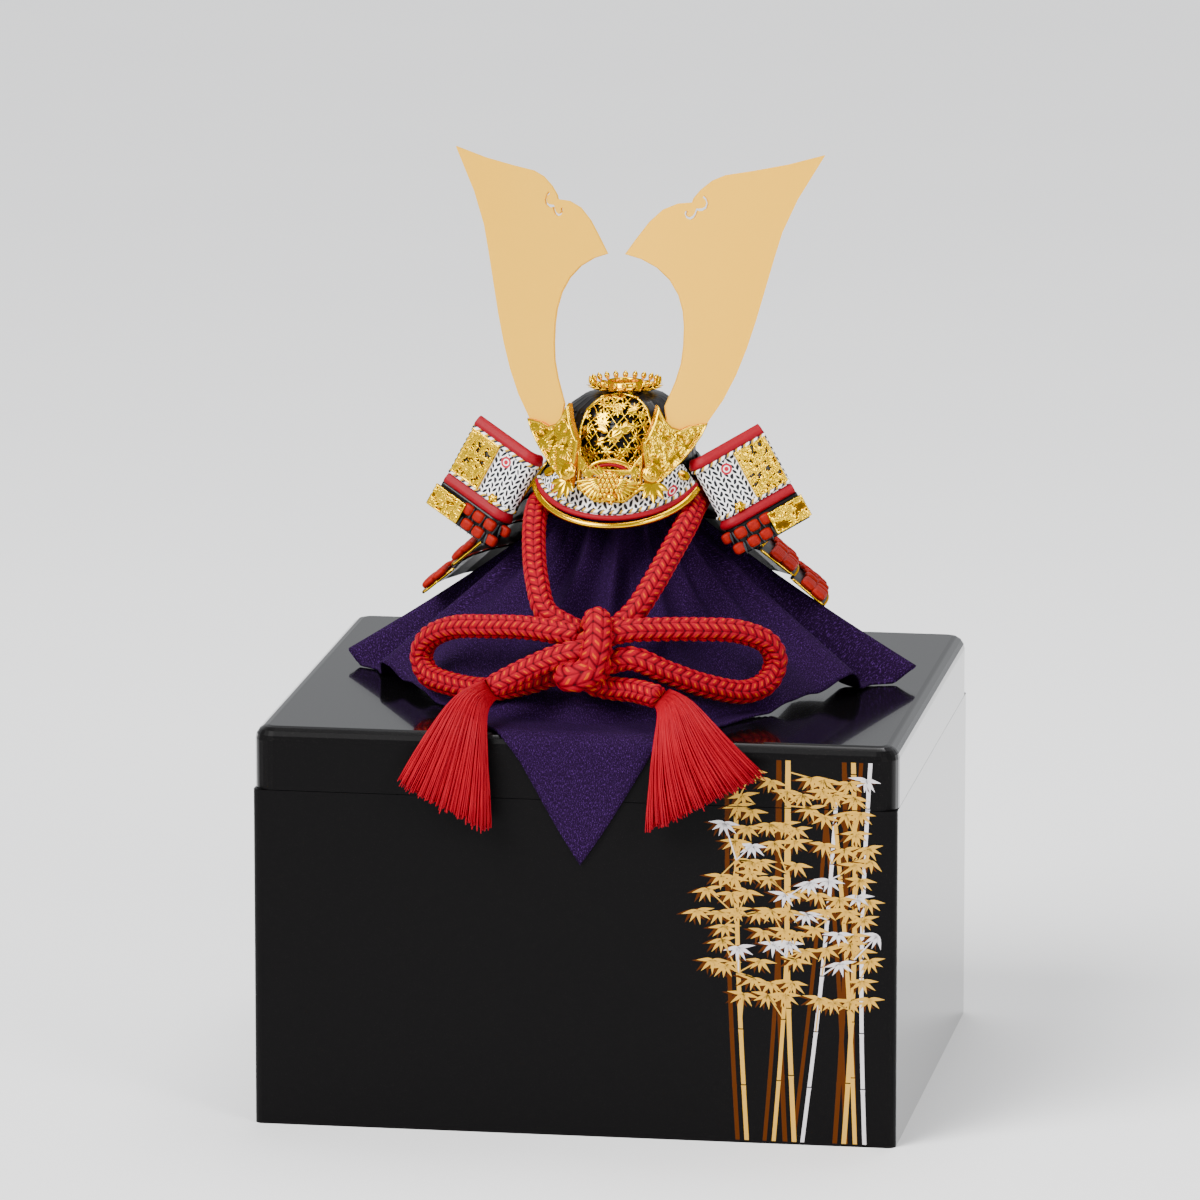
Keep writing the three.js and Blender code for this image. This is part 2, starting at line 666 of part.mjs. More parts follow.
for (const side of [-1, 1]) {
  const hand = side < 0 ? 'left' : 'right';
  const frame = new THREE.Group();
  frame.position.set(side * earX, earY, rimLevel + earRise);
  frame.rotation.set(-earLean * degrees, -side * earTilt * degrees, side * earSweep * degrees, 'ZYX');
  helmet.add(frame);
  const handed = (geometry) => (side < 0 ? mirrored(geometry) : geometry);
  piece(`ear_plate_${hand}`, handed(earStrip), 'leather', frame);
  piece(`lower_ear_${hand}`, handed(lowerStrip), 'redSilk', frame);
  const gold = piece(`ear_gold_${hand}`, handed(earGold), 'brightGilt', frame);
  gold.position.set(side * (earPlaneX - earGoldWidth / 2), -earGoldWall / 2 - seat, 0);
  const lower = piece(`lower_ear_gold_${hand}`, lowerGold, 'brightGilt', frame);
  lower.position.set(
    side * (earPlaneX + 2 - lowerGoldWidth / 2), 0.8 - earGoldWall / 2 - seat, lowerTop - lowerGoldHeight / 2 - 1,
  );
  const button = piece(`ear_stud_${hand}`, stud, 'brightGilt', frame);
  button.rotation.x = Math.PI / 2;
  button.position.set(-side * 9.5, -seat, earBorder + 2.2 - earHeight / 2);
}

// Neck guard: four flaring lames round the back, each tucked behind the one above, with rows of
// lacing on their outside. Each row gives a lame's lower edge: out is its share of the guard's spread
// past the bowl, down its share of the guard's drop below the rim, and front and reach how far the upper
// and lower corners of its ends come forward, as shares of the guard's reach.
const lameTopRadius = bowlRadius + 2 * seat;
const lameTopLevel = rimLevel + visorRise;
const lames = [
  { out: 0.286, down: 0.254, front: 0.62, reach: 1 },
  { out: 0.543, down: 0.522, front: 0.8, reach: 0.51 },
  { out: 0.771, down: 0.769, front: 0.51, reach: 0.29 },
  { out: 1, down: 1, front: 0.29, reach: 0.29 },
].map((row) => ({
  radius: bowlRadius + row.out * neckSpread,
  level: rimLevel - row.down * neckDrop,
  front: row.front * neckReach,
  reach: row.reach * neckReach,
}));
const toeIn = 2;
const toeRun = 24;
const straightShare = 0.14;
function guardPoint(share, radius, level, reach) {
  const inStraight = Math.max(straightShare - share, share - 1 + straightShare, 0) / straightShare;
  const turn = THREE.MathUtils.clamp((share - straightShare) / (1 - 2 * straightShare), 0, 1) * Math.PI;
  const forward = reach * inStraight;
  const inward = toeIn * (forward / toeRun) ** 2;
  return new THREE.Vector3(-(radius - inward) * Math.cos(turn), radius * Math.sin(turn) - forward, level);
}
let upper = { radius: lameTopRadius, level: lameTopLevel };
lames.forEach((lame, at) => {
  const from = { ...upper };
  piece(`neck_lame_${at + 1}`, wallUnder(24, 1, (share, down) => guardPoint(
    share,
    from.radius + (lame.radius - from.radius) * down,
    from.level + (lame.level - from.level) * down,
    lame.front + (lame.reach - lame.front) * down,
  ), -lameWall), 'blackIron', helmet);
  const run = Math.hypot(lame.radius - from.radius, lame.level - from.level);
  const out = { radius: (lame.radius - from.radius) / run, level: (lame.level - from.level) / run };
  const faceOut = { radius: -out.level, level: out.radius };
  const lift = lameWall + seat;
  const rowTop = at === 0 ? 0.5 : 0.3;
  const rowLow = 0.93;
  const columns = 2 * lacingTufts;
  piece(`lacing_row_${at + 1}`, wallUnder(columns, 1, (share, down) => {
    const along = rowTop + (rowLow - rowTop) * down;
    const swell = Math.round(share * columns) % 2 ? lacingSwell : 0;
    return guardPoint(
      0.02 + 0.96 * share,
      from.radius + out.radius * run * along + faceOut.radius * (lift + lacingWall + swell),
      from.level + out.level * run * along + faceOut.level * (lift + lacingWall + swell),
      lame.front + (lame.reach - lame.front) * along,
    );
  }, lacingWall), 'redSilk', helmet);
  upper = {
    radius: lame.radius - faceOut.radius * (lameWall + lameGap) - out.radius * lameTuck,
    level: lame.level - faceOut.level * (lameWall + lameGap) - out.level * lameTuck,
  };
});

// Stand: one turned piece, a foot on the lid, a shaft, and a round head inside the bowl.
const headTop = rimLevel + headShare * bowlHeight;
const standBase = lidTop + seat;
piece('stand_post', turned([
  [0, standBase],
  [standFoot, standBase],
  [standFoot, standBase + standFootHeight / 2],
  [standShaft, standBase + standFootHeight],
  [standShaft, headTop - headDrop - headSlope],
  [standHead, headTop - headDrop],
  [standHead, headTop - headChamfer],
  [standHead - headChamfer, headTop],
  [0, headTop],
  [0, standBase],
], 18), 'wood', helmet);

// Cloth: a square laid cornerwise over the stand. Each ray runs from its middle to the hem:
// turn is its bearing from the front in degrees, cut the same bearing in the flat cloth (0 the front
// corner, 1 a side corner, 2 the back corner), foot where its slope would meet the lid as a share of the
// cloth's spread, hollow how much it sags inward, and ease the share of its length left after small
// crinkles. Crests and hollows alternate.
const clothRays = [
  { turn: -154, cut: -1.7, foot: 0.72, hollow: 1.3, ease: 1 },
  { turn: -129, cut: -1.385, foot: 0.94, hollow: 1.1, ease: 1 },
  { turn: -112, cut: -1.185, foot: 0.72, hollow: 1.25, ease: 0.95 },
  { turn: -97, cut: -1, foot: 1.1, hollow: 1.16, ease: 0.83 },
  { turn: -90, cut: -0.955, foot: 0.79, hollow: 1.3, ease: 0.84 },
  { turn: -78, cut: -0.88, foot: 0.95, hollow: 1.1, ease: 0.81 },
  { turn: -67, cut: -0.755, foot: 0.83, hollow: 1.25, ease: 0.88 },
  { turn: -56, cut: -0.63, foot: 0.83, hollow: 1.3, ease: 0.92 },
  { turn: -42, cut: -0.48, foot: 0.72, hollow: 1.5, ease: 0.98 },
  { turn: -25, cut: -0.3, foot: 0.81, hollow: 1.6, ease: 1 },
  { turn: -16, cut: -0.2, foot: 0.79, hollow: 1.65, ease: 1 },
  { turn: -11, cut: -0.14, foot: 0.78, hollow: 1.7, ease: 1 },
  { turn: 0, cut: 0, foot: 0.82, hollow: 1.5, ease: 1 },
  { turn: 12, cut: 0.14, foot: 0.77, hollow: 1.7, ease: 1 },
  { turn: 16, cut: 0.2, foot: 0.79, hollow: 1.65, ease: 1 },
  { turn: 25, cut: 0.3, foot: 0.84, hollow: 1.6, ease: 1 },
  { turn: 42, cut: 0.48, foot: 0.73, hollow: 1.5, ease: 0.98 },
  { turn: 56, cut: 0.63, foot: 0.82, hollow: 1.35, ease: 0.92 },
  { turn: 68, cut: 0.755, foot: 0.82, hollow: 1.25, ease: 0.87 },
  { turn: 79, cut: 0.88, foot: 0.96, hollow: 1.1, ease: 0.8 },
  { turn: 91, cut: 0.955, foot: 0.78, hollow: 1.3, ease: 0.83 },
  { turn: 96, cut: 1, foot: 1.12, hollow: 1.16, ease: 0.83 },
  { turn: 112, cut: 1.185, foot: 0.73, hollow: 1.25, ease: 0.95 },
  { turn: 130, cut: 1.385, foot: 0.93, hollow: 1.1, ease: 1 },
  { turn: 154, cut: 1.7, foot: 0.72, hollow: 1.3, ease: 1 },
  { turn: 180, cut: 2, foot: 0.86, hollow: 1.15, ease: 0.92 },
];
const clothHead = standHead + seat + clothWall;
const clothTop = headTop + seat + clothWall;
const halfDiagonal = clothSide / Math.SQRT2;
const sideCorner = Math.atan2(halfDiagonal, clothForward);

// Distance from the middle of the drape to the hem, measured in the flat cloth.
function hemDistance(cut) {
  const share = Math.abs(cut);
  const bearing = share < 1 ? share * sideCorner : sideCorner + (share - 1) * (Math.PI - sideCorner);
  if (share < 1) return (halfDiagonal + clothForward) / (Math.cos(bearing) + Math.sin(bearing));
  return (halfDiagonal - clothForward) / (Math.sin(bearing) - Math.cos(bearing));
}

// The part past the lid's front edge turns down round it and hangs.
const edgeY = -boxDepth / 2 + lidRounding;
const edgeRadius = lidRounding + 2 * seat + clothWall;
function overEdge(point) {
  const past = edgeY - point.y;
  if (past <= 0) return point;
  const height = point.z - clothLevel;
  const turn = Math.min(past / edgeRadius, Math.PI / 2);
  const hang = Math.max(past - (edgeRadius * Math.PI) / 2, 0);
  return new THREE.Vector3(
    point.x,
    edgeY - (edgeRadius + height) * Math.sin(turn),
    lidTop - lidRounding + (edgeRadius + height) * Math.cos(turn) - hang,
  );
}
function clothPoint(ray, length) {
  const flat = Math.min(length, clothHead);
  const wallRun = clothTop - clothSkirtTop;
  const drop = THREE.MathUtils.clamp(length - clothHead, 0, wallRun);
  const slopeLength = Math.max(length - clothHead - wallRun, 0) * ray.ease;
  const foot = ray.foot * clothSpread;
  const fall = clothSkirtTop - clothLevel;
  const slope = Math.hypot(foot - clothHead, fall) * (1 + clothSag * (ray.hollow - 1));
  const share = Math.min(slopeLength / slope, 1);
  const beyond = Math.max(slopeLength - slope, 0);
  const radius = flat + (foot - clothHead) * share ** ray.hollow + beyond;
  const turn = ray.turn * degrees;
  return overEdge(new THREE.Vector3(
    helmetX + radius * Math.sin(turn),
    -radius * Math.cos(turn),
    clothTop - drop - fall * share,
  ));
}
const clothColumns = [];
clothRays.forEach((ray, at) => {
  const next = clothRays[at + 1] ?? { ...clothRays[0], turn: 360 + clothRays[0].turn, cut: 4 + clothRays[0].cut };
  const between = Object.fromEntries(Object.keys(ray).map((key) => [key, (ray[key] + next[key]) / 2]));
  between.cut = between.cut > 2 ? 4 - between.cut : between.cut;
  clothColumns.push(ray, between);
});

// Lengths along a ray at which the cloth bends: round the head, down the slope, and round the lid's edge
// where the ray reaches it.
const slopeSteps = 5;
const edgeSteps = 4;
const slopePart = 0.75;
const hemSliver = 0.4;
const edgeArc = (edgeRadius * Math.PI) / 2;
function rowLengths(ray) {
  const rows = [0, clothHead, clothHead + clothTop - clothSkirtTop];
  const start = rows[rows.length - 1];
  const hem = hemDistance(ray.cut);
  let edge = start;
  while (edge < hem && clothPoint(ray, edge).y > edgeY) edge += 0.5;
  const slopeEnd = edge < hem ? edge : start + (hem - start) * slopePart;
  const edgeStep = edge < hem ? edgeArc / (edgeSteps - 1) : (hem - slopeEnd) / edgeSteps;
  for (let step = 1; step <= slopeSteps; step += 1) rows.push(start + ((slopeEnd - start) * step) / slopeSteps);
  for (let step = 1; step < edgeSteps; step += 1) {
    rows.push(Math.min(slopeEnd + edgeStep * step, hem - hemSliver * (edgeSteps - step)));
  }
  return [...rows, hem];
}
const clothRows = clothColumns.map(rowLengths);
const rowCount = clothRows[0].length - 1;
const drape = wallUnder(clothColumns.length, rowCount, (around, down) => {
  const column = Math.round(around * clothColumns.length);
  return clothPoint(clothColumns[column], clothRows[column][Math.round(down * rowCount)]);
}, -clothWall, true);
piece('drape_cloth', trimmed(drape, lidBlank(seat)), 'crepe');

// Cord: round silk braid. The routes are chosen by hand; the chin cord passes round the cloth under the
// bowl's rim, and both bow loops and both tails leave the knot.
const chinRoute = [
  [-3, -98, 258], [-13, -96, 262], [-23.5, -92, 267.5], [-30.4, -80, 281.8], [-35, -62, 297], [-37, -46, 308],
  [-37.5, -30, 313], [-37, -12, 314.4], [-34, 13, 314.4], [-20, 32, 314], [4, 39.8, 314],
  [28, 32, 314], [42, 13, 314.4], [45, -12, 314.4], [45, -30, 313], [43.9, -46, 308], [38.7, -62, 297],
  [31.3, -80, 282.2], [23.8, -91, 270], [16, -95, 262.5], [9, -98, 258],
];
const loopRightRoute = [
  [8, -112, 259.5], [21, -110, 262.8], [38.4, -102, 262.6], [58.1, -92, 261.2], [77.5, -80, 258], [91, -71, 250.4],
  [94.7, -68, 240.6], [91.1, -72, 230.5], [80.8, -84, 226.8], [61.8, -99, 232.6], [42.1, -108.8, 241.4],
  [25.4, -114.5, 249.2], [10, -114, 246.5],
];
const loopLeftRoute = [
  [-2, -112, 259], [-12, -110.5, 260.5], [-30.5, -103, 261.3], [-53.5, -93, 259.3], [-76.4, -81, 255.3],
  [-90, -73, 247], [-94, -70, 237.5], [-90, -74, 229], [-75.7, -86, 226.3], [-52.4, -100, 227],
  [-29.6, -107, 233.2], [-12, -111, 240.4], [-3, -111, 243],
];
const tailRightRoute = [[4, -115, 236], [12, -115, 233.5], [28, -119, 233], [38, -126, 232.5], [43, -129.5, 232]];
const tailLeftRoute = [[-2, -122, 253], [-12, -123.5, 251], [-26.9, -125, 244.5], [-41.8, -130, 237], [-47, -131.5, 234]];
const bandRoute = [
  [3, -107, 255], [4, -104.5, 262], [6, -111, 267], [7, -119, 264], [7.5, -124, 254], [5, -126, 246],
  [0, -126, 239], [-2, -121, 234], [0, -114.5, 235.5], [2, -111, 243],
];
const knotCore = ellipsoid([12, 8, 11], [3, -112, 252], 12, 8);
const knot = fused(knotCore, tube(bandRoute, cordDiameter + 1, 12));
const knotRoom = fused(
  ellipsoid([12 + 2 * seat, 8 + 2 * seat, 11 + 2 * seat], [3, -112, 252], 12, 8),
  tube(bandRoute, cordDiameter + 1 + 4 * seat, 12),
);
const cord = (route, steps) => trimmed(tube(route, cordDiameter, steps), knotRoom);
piece('bow_knot', knot, 'redSilk');
piece('chin_cord', cord(chinRoute, 22), 'redSilk');
piece('bow_loop_left', cord(loopLeftRoute, 16), 'redSilk');
piece('bow_loop_right', cord(loopRightRoute, 16), 'redSilk');
piece('cord_tail_left', cord(tailLeftRoute, 4), 'redSilk');
piece('cord_tail_right', cord(tailRightRoute, 4), 'redSilk');

// Tassels: locks of thread that fan out from the cord's end over the lid's front edge. Each row is a
// section: its share of the way down, the middle, half its width and half its thickness as vectors.
const tasselRight = [
  { middle: [46, -131.5, 231.5], half: [3.4, 2.6, 4.4], thick: [0, -6, 1] },
  { middle: [50, -139, 231], half: [6.5, 2, 5.5], thick: [-1, -6.2, 5] },
  { middle: [55.5, -153, 225.5], half: [12, 0, 8.5], thick: [-2, -6.2, 5.5] },
  { middle: [62, -163, 206], half: [21, 0, 12.5], thick: [-2, -7.5, 2] },
  { middle: [70.5, -163, 186], half: [31, 0, 16], thick: [0, -7.5, 0] },
];
const tasselLeft = [
  { middle: [-48.3, -132.3, 233.4], half: [3.4, -2.6, -4.4], thick: [0, -6, 1] },
  { middle: [-53, -140, 231], half: [6.5, -2, -5.5], thick: [1, -6.2, 5] },
  { middle: [-56, -152.5, 224], half: [11, 0, -7], thick: [2, -6.2, 5.5] },
  { middle: [-60.5, -163, 203], half: [18, 0, -10], thick: [2, -7.5, 2] },
  { middle: [-65.5, -163, 180], half: [24.5, 0, -12.8], thick: [0, -7.5, 0] },
];
const tasselLocks = 8;
function tassel(rows) {
  const around = 2 * tasselLocks;
  const corners = [];
  const triangles = [];
  rows.forEach((row, at) => {
    for (let step = 0; step < around; step += 1) {
      const turn = (step / around) * 2 * Math.PI;
      const lock = at > 1 && step % 2 ? 0.86 : 1;
      corners.push(new THREE.Vector3(...row.middle)
        .addScaledVector(new THREE.Vector3(...row.half), Math.cos(turn) * (at > 1 ? (1 + lock) / 2 : 1))
        .addScaledVector(new THREE.Vector3(...row.thick), Math.sin(turn) * lock));
    }
  });
  const place = (row, step) => row * around + (step % around);
  for (let row = 0; row + 1 < rows.length; row += 1) {
    for (let step = 0; step < around; step += 1) {
      triangles.push(place(row, step), place(row, step + 1), place(row + 1, step + 1));
      triangles.push(place(row, step), place(row + 1, step + 1), place(row + 1, step));
    }
  }
  const last = rows.length - 1;
  const ends = [corners.push(new THREE.Vector3(...rows[0].middle)) - 1,
    corners.push(new THREE.Vector3(...rows[last].middle)) - 1];
  for (let step = 0; step < around; step += 1) {
    triangles.push(ends[0], place(0, step + 1), place(0, step));
    triangles.push(ends[1], place(last, step), place(last, step + 1));
  }
  const geometry = new THREE.BufferGeometry();
  geometry.setAttribute('position', new THREE.Float32BufferAttribute(corners.flatMap((p) => p.toArray()), 3));
  geometry.setIndex(triangles);
  return closedBody(geometry);
}
piece('tassel_left', tassel(tasselLeft), 'redSilk');
piece('tassel_right', tassel(tasselRight), 'redSilk');

export default group;
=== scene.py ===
import math

import bpy
import numpy as np
from mathutils import Matrix, Vector


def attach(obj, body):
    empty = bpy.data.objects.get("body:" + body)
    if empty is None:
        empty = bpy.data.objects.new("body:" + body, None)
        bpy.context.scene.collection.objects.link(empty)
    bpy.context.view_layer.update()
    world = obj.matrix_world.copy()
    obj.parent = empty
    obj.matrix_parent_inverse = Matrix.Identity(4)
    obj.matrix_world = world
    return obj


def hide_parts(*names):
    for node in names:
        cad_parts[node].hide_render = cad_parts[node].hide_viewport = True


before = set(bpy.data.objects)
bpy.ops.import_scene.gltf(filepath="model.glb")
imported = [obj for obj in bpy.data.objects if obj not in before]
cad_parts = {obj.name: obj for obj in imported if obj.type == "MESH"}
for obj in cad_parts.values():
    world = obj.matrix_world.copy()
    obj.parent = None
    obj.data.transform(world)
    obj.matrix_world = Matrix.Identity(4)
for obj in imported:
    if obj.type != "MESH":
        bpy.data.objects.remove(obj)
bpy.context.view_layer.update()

MM = 0.001

# Camera: long lens, a little to the right of the front and a little above the box's lid.
azimuth, elevation = math.radians(8.994), math.radians(11.636)
look_at = Vector((-9.521, 0, 256.026)) * MM
away = Vector(
    (
        math.sin(azimuth) * math.cos(elevation),
        -math.cos(azimuth) * math.cos(elevation),
        math.sin(elevation),
    )
)
lens = bpy.data.cameras.new("camera")
lens.lens = 297.66
lens.sensor_width = 36
camera = bpy.data.objects.new("camera", lens)
camera.location = look_at + away * 5.29835
camera.rotation_euler = away.to_track_quat("Z", "Y").to_euler()
bpy.context.scene.collection.objects.link(camera)
bpy.context.scene.camera = camera

# Floor and light: a pale floor in a pale surrounding, lit by a soft sun from the front left and three
# large soft lamps.


class Wire:
    """A shader socket that takes part in Python expressions."""

    def __init__(self, tree, socket=None):
        self.tree = tree
        self.socket = socket

    def node(self, kind, settings, values, output=0):
        made = self.tree.nodes.new("ShaderNode" + kind)
        for name, value in settings.items():
            setattr(made, name, value)
        for key, value in values.items():
            if isinstance(value, Wire):
                self.tree.links.new(value.socket, made.inputs[key])
            else:
                made.inputs[key].default_value = value
        return Wire(self.tree, made.outputs[output])

    def maths(self, operation, *values):
        return self.node("Math", {"operation": operation}, dict(enumerate(values)))

    def __add__(self, other):
        return self.maths("ADD", self, other)

    def __radd__(self, other):
        return self.maths("ADD", other, self)

    def __sub__(self, other):
        return self.maths("SUBTRACT", self, other)

    def __rsub__(self, other):
        return self.maths("SUBTRACT", other, self)

    def __mul__(self, other):
        return self.maths("MULTIPLY", self, other)

    def __rmul__(self, other):
        return self.maths("MULTIPLY", other, self)

    def __truediv__(self, other):
        return self.maths("DIVIDE", self, other)

    def __rtruediv__(self, other):
        return self.maths("DIVIDE", other, self)

    def __pow__(self, other):
        return self.maths("POWER", self, other)

    def __neg__(self):
        return self.maths("MULTIPLY", self, -1)

    def __abs__(self):
        return self.maths("ABSOLUTE", self)

    def rise(self, low, high):
        """0 below low, 1 above high, smooth between."""
        settings = {"interpolation_type": "SMOOTHSTEP"}
        return self.node("MapRange", settings, {"Value": self, "From Min": low, "From Max": high})

    def mix(self, none, full):
        """The first colour where this is 0, the second where it is 1."""
        return self.node("Mix", {"data_type": "RGBA"}, {0: self, 6: none, 7: full}, 2)

    def part(self, axis):
        return self.node("SeparateXYZ", {}, {0: self}, axis)

    def scaled(self, *factors):
        return self.node("VectorMath", {"operation": "MULTIPLY"}, {0: self, 1: factors})

    def noise(self, scale, detail=2.0, roughness=0.5):
        values = {"Vector": self, "Scale": scale, "Detail": detail, "Roughness": roughness}
        return self.node("TexNoise", {}, values)


def material(name):
    """A new material, its coordinates (object and UV) and its surface shader."""
    made = bpy.data.materials.new(name)
    made.use_nodes = True
    wire = Wire(made.node_tree)
    return made, wire.node("TexCoord", {}, {}, 3), wire.node("TexCoord", {}, {}, 2)


def finish_material(made, **inputs):
    """Sets the surface shader's sockets by name; height gives the bump, in metres."""
    tree = made.node_tree
    shader = tree.nodes["Principled BSDF"]
    height = inputs.pop("height", None)
    if height is not None:
        inputs["Normal"] = height.node("Bump", {}, {"Height": height, "Distance": 1.0, "Strength": 1.0})
    for name, value in inputs.items():
        socket = shader.inputs[name.replace("_", " ")]
        if isinstance(value, Wire):
            tree.links.new(value.socket, socket)
        else:
            socket.default_value = value
    return made


stage_finish, stage_place, _ = material("floor_paint")
finish_material(
    stage_finish,
    Base_Color=stage_place.noise(3.0).mix((0.86, 0.86, 0.87, 1), (0.9, 0.9, 0.9, 1)),
    Roughness=0.7,
)
bpy.ops.mesh.primitive_plane_add(size=30, location=(0, 0, 0))
floor = bpy.context.object
floor.name = "floor"
floor.data.materials.append(stage_finish)

world = bpy.data.worlds.new("studio")
world.use_nodes = True
world.node_tree.nodes["Background"].inputs[0].default_value = (0.95, 0.97, 1, 1)
world.node_tree.nodes["Background"].inputs[1].default_value = 0.62
bpy.context.scene.world = world


def soft_lamp(name, place, size, power, colour):
    lamp = bpy.data.lights.new(name, "AREA")
    lamp.size = size
    lamp.energy = power
    lamp.color = colour
    lit = bpy.data.objects.new(name, lamp)
    lit.location = place
    lit.rotation_euler = (Vector(place) - look_at).to_track_quat("Z", "Y").to_euler()
    bpy.context.scene.collection.objects.link(lit)


sunlight = bpy.data.lights.new("soft_sun", "SUN")
sunlight.energy = 4.6
sunlight.angle = math.radians(35)
sun = bpy.data.objects.new("soft_sun", sunlight)
sun.rotation_euler = Vector((-0.75, -0.95, 1.15)).to_track_quat("Z", "Y").to_euler()
bpy.context.scene.collection.objects.link(sun)
soft_lamp("lamp_front_left", (-1.6, -2.2, 1.9), 1.2, 50, (1, 0.98, 0.95))
soft_lamp("lamp_front_right", (1.7, -1.7, 1.3), 0.9, 42, (1, 0.98, 0.96))
soft_lamp("lamp_top", (0.1, 0.6, 2.1), 1.0, 30, (1, 1, 1))

# Storage box: wooden case and lift-off lid under black lacquer, polished on the lid and sides and
# satin on the front. Both pieces keep their solid's shape.
lacquer, spot, _ = material("black_lacquer")
speck = spot.noise(2600.0, 1.0).rise(0.66, 0.74)
front = (spot.part(1) * -1000).rise(143.0, 147.5)
on_top = (spot.part(2) * 1000).rise(212.6, 213.0)
finish_material(
    lacquer,
    Base_Color=(speck * front * 0.55).mix((0.002, 0.0018, 0.002, 1), (0.03, 0.027, 0.025, 1)),
    Roughness=0.12 + front * 0.3,
    Coat_Weight=(1.0 - front) * (1.0 - on_top * 0.5),
    Coat_IOR=1.42,
    Coat_Roughness=0.03,
    Specular_IOR_Level=0.06,
)


def coat(node, finish):
    """Gives a solid that is shown as it is its finish."""
    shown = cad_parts[node]
    shown.data.materials.clear()
    shown.data.materials.append(finish)
    return shown


for node in ("box_body", "box_lid"):
    coat(node, lacquer)

# Painting on the box: a stand of bamboo in gold, silver and brown lacquer on the right of the front,
# over body and lid alike, a tenth of a millimetre high and parted at the lid's seam.
painted, spot, tone_at = material("gold_lacquer_painting")
tone = tone_at.part(0)
dust = spot.noise(1500.0, 2.0)
gold_tone = dust.mix((0.46, 0.25, 0.03, 1), (0.60, 0.34, 0.06, 1))
light_tone = (tone.rise(1.4, 1.6)).mix(gold_tone, (0.58, 0.55, 0.57, 1))
finish_material(
    painted,
    Base_Color=tone.rise(0.4, 0.6).mix((0.060, 0.014, 0.001, 1), light_tone),
    Roughness=0.38,
    Metallic=tone.rise(0.4, 0.6) * 0.35,
    Specular_IOR_Level=0.05,
)
box_front = -150
painting_top = 206
seam_low, seam_high = 179.9, 180.4
leaf_shares = (0.0, 0.12, 0.3, 0.5, 0.72, 1.0)
leaf_halves = (0.15, 0.7, 1.0, 0.86, 0.5, 0.0)
paint_points, paint_faces, paint_tones = [], [], []


def kept_side(outline, level, above):
    """The part of a convex outline on one side of a level line."""
    kept = []
    for (ax, az), (bx, bz) in zip(outline, outline[1:] + outline[:1]):
        a_in, b_in = (az > level) == above, (bz > level) == above
        if a_in:
            kept.append((ax, az))
        if a_in != b_in:
            share = (level - az) / (bz - az)
            kept.append((ax + (bx - ax) * share, level))
    return kept


def paint(outline, tone, height):
    """Adds a flat patch of one tone to the painting, parted at the lid's seam."""
    for part in (kept_side(outline, seam_low, False), kept_side(outline, seam_high, True)):
        if len(part) < 3:
            continue
        start = len(paint_points)
        paint_points.extend((x, box_front - height, z) for x, z in part)
        paint_faces.append(list(range(start, start + len(part))))
        paint_tones.extend([(tone, 0)] * len(part))


def paint_leaf(foot, bearing, length, width, tone, height):
    """A pointed leaf, from its foot along its bearing."""
    along = np.array([math.cos(bearing), math.sin(bearing)])
    across = np.array([-along[1], along[0]]) * width / 2
    middles = [foot + along * length * share for share in leaf_shares]
    right = [tuple(middle + across * half) for middle, half in zip(middles, leaf_halves)]
    left = [tuple(middle - across * half) for middle, half in zip(middles, leaf_halves)]
    paint(right + left[-2::-1], tone, height)


def build(name, points, faces, finish, flat=None, smooth=True):
    """A mesh object from corner places in millimetres, with its flat coordinates per corner."""
    mesh = bpy.data.meshes.new(name)
    mesh.from_pydata((np.asarray(points, float) * MM).tolist(), [], [list(map(int, f)) for f in faces])
    mesh.materials.append(finish)
    if flat is not None:
        corners = np.zeros(len(mesh.loops), np.int32)
        mesh.loops.foreach_get("vertex_index", corners)
        layer = mesh.uv_layers.new(name="flat")
        layer.data.foreach_set("uv", np.asarray(flat, np.float32)[corners].ravel())
    mesh.polygons.foreach_set("use_smooth", [smooth] * len(mesh.polygons))
    made = bpy.data.objects.new(name, mesh)
    bpy.context.scene.collection.objects.link(made)
    return made


def add(obj, slot, *nodes):
    """Puts a finished piece on the object, in place of its plain solids where it has any."""
    if nodes:
        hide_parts(*nodes)
    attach(obj, "root")
    return obj


pick = np.random.default_rng(11)
# foot, lean, bow, width, top and tone of each stalk
stalks = [
    (92, -0.03, -2, 2.3, painting_top, 1),
    (106, 0.035, 3, 2.1, painting_top, 1),
    (117, -0.02, -2, 2.5, painting_top, 1),
    (121, 0.09, 2, 2.0, 187, 2),
    (143, 0.02, 3, 2.5, painting_top, 1),
    (149, -0.07, 2, 2.2, 174, 1),
    (154, 0.01, -3, 2.1, painting_top, 2),
]
shadow_shift = -4.8
joints = []
for number, (foot, lean, bow, width, top, tone) in enumerate(stalks):
    levels = np.arange(1.5, top, 3.0)
    middle = foot + lean * levels + bow * np.sin(levels / painting_top * np.pi)
    spacing = 10 + number % 3
    for index in range(len(levels) - 1):
        is_joint = index % spacing == spacing - 1
        if is_joint:
            joints.append((middle[index + 1], levels[index + 1]))
        for shift, shade, height in ((shadow_shift, 0, 0.02), (0, tone, 0.06)):
            low, high = levels[index], levels[index + 1] - (0.6 if is_joint and shift == 0 else 0)
            a, b = middle[index] + shift, middle[index + 1] + shift
            half = width / 2
            flare = half * (1.14 if is_joint else 1)
            patch = [(a - half, low), (a + half, low), (b + flare, high), (b - flare, high)]
            paint(patch, shade, height + number * 0.005)
sprays = []
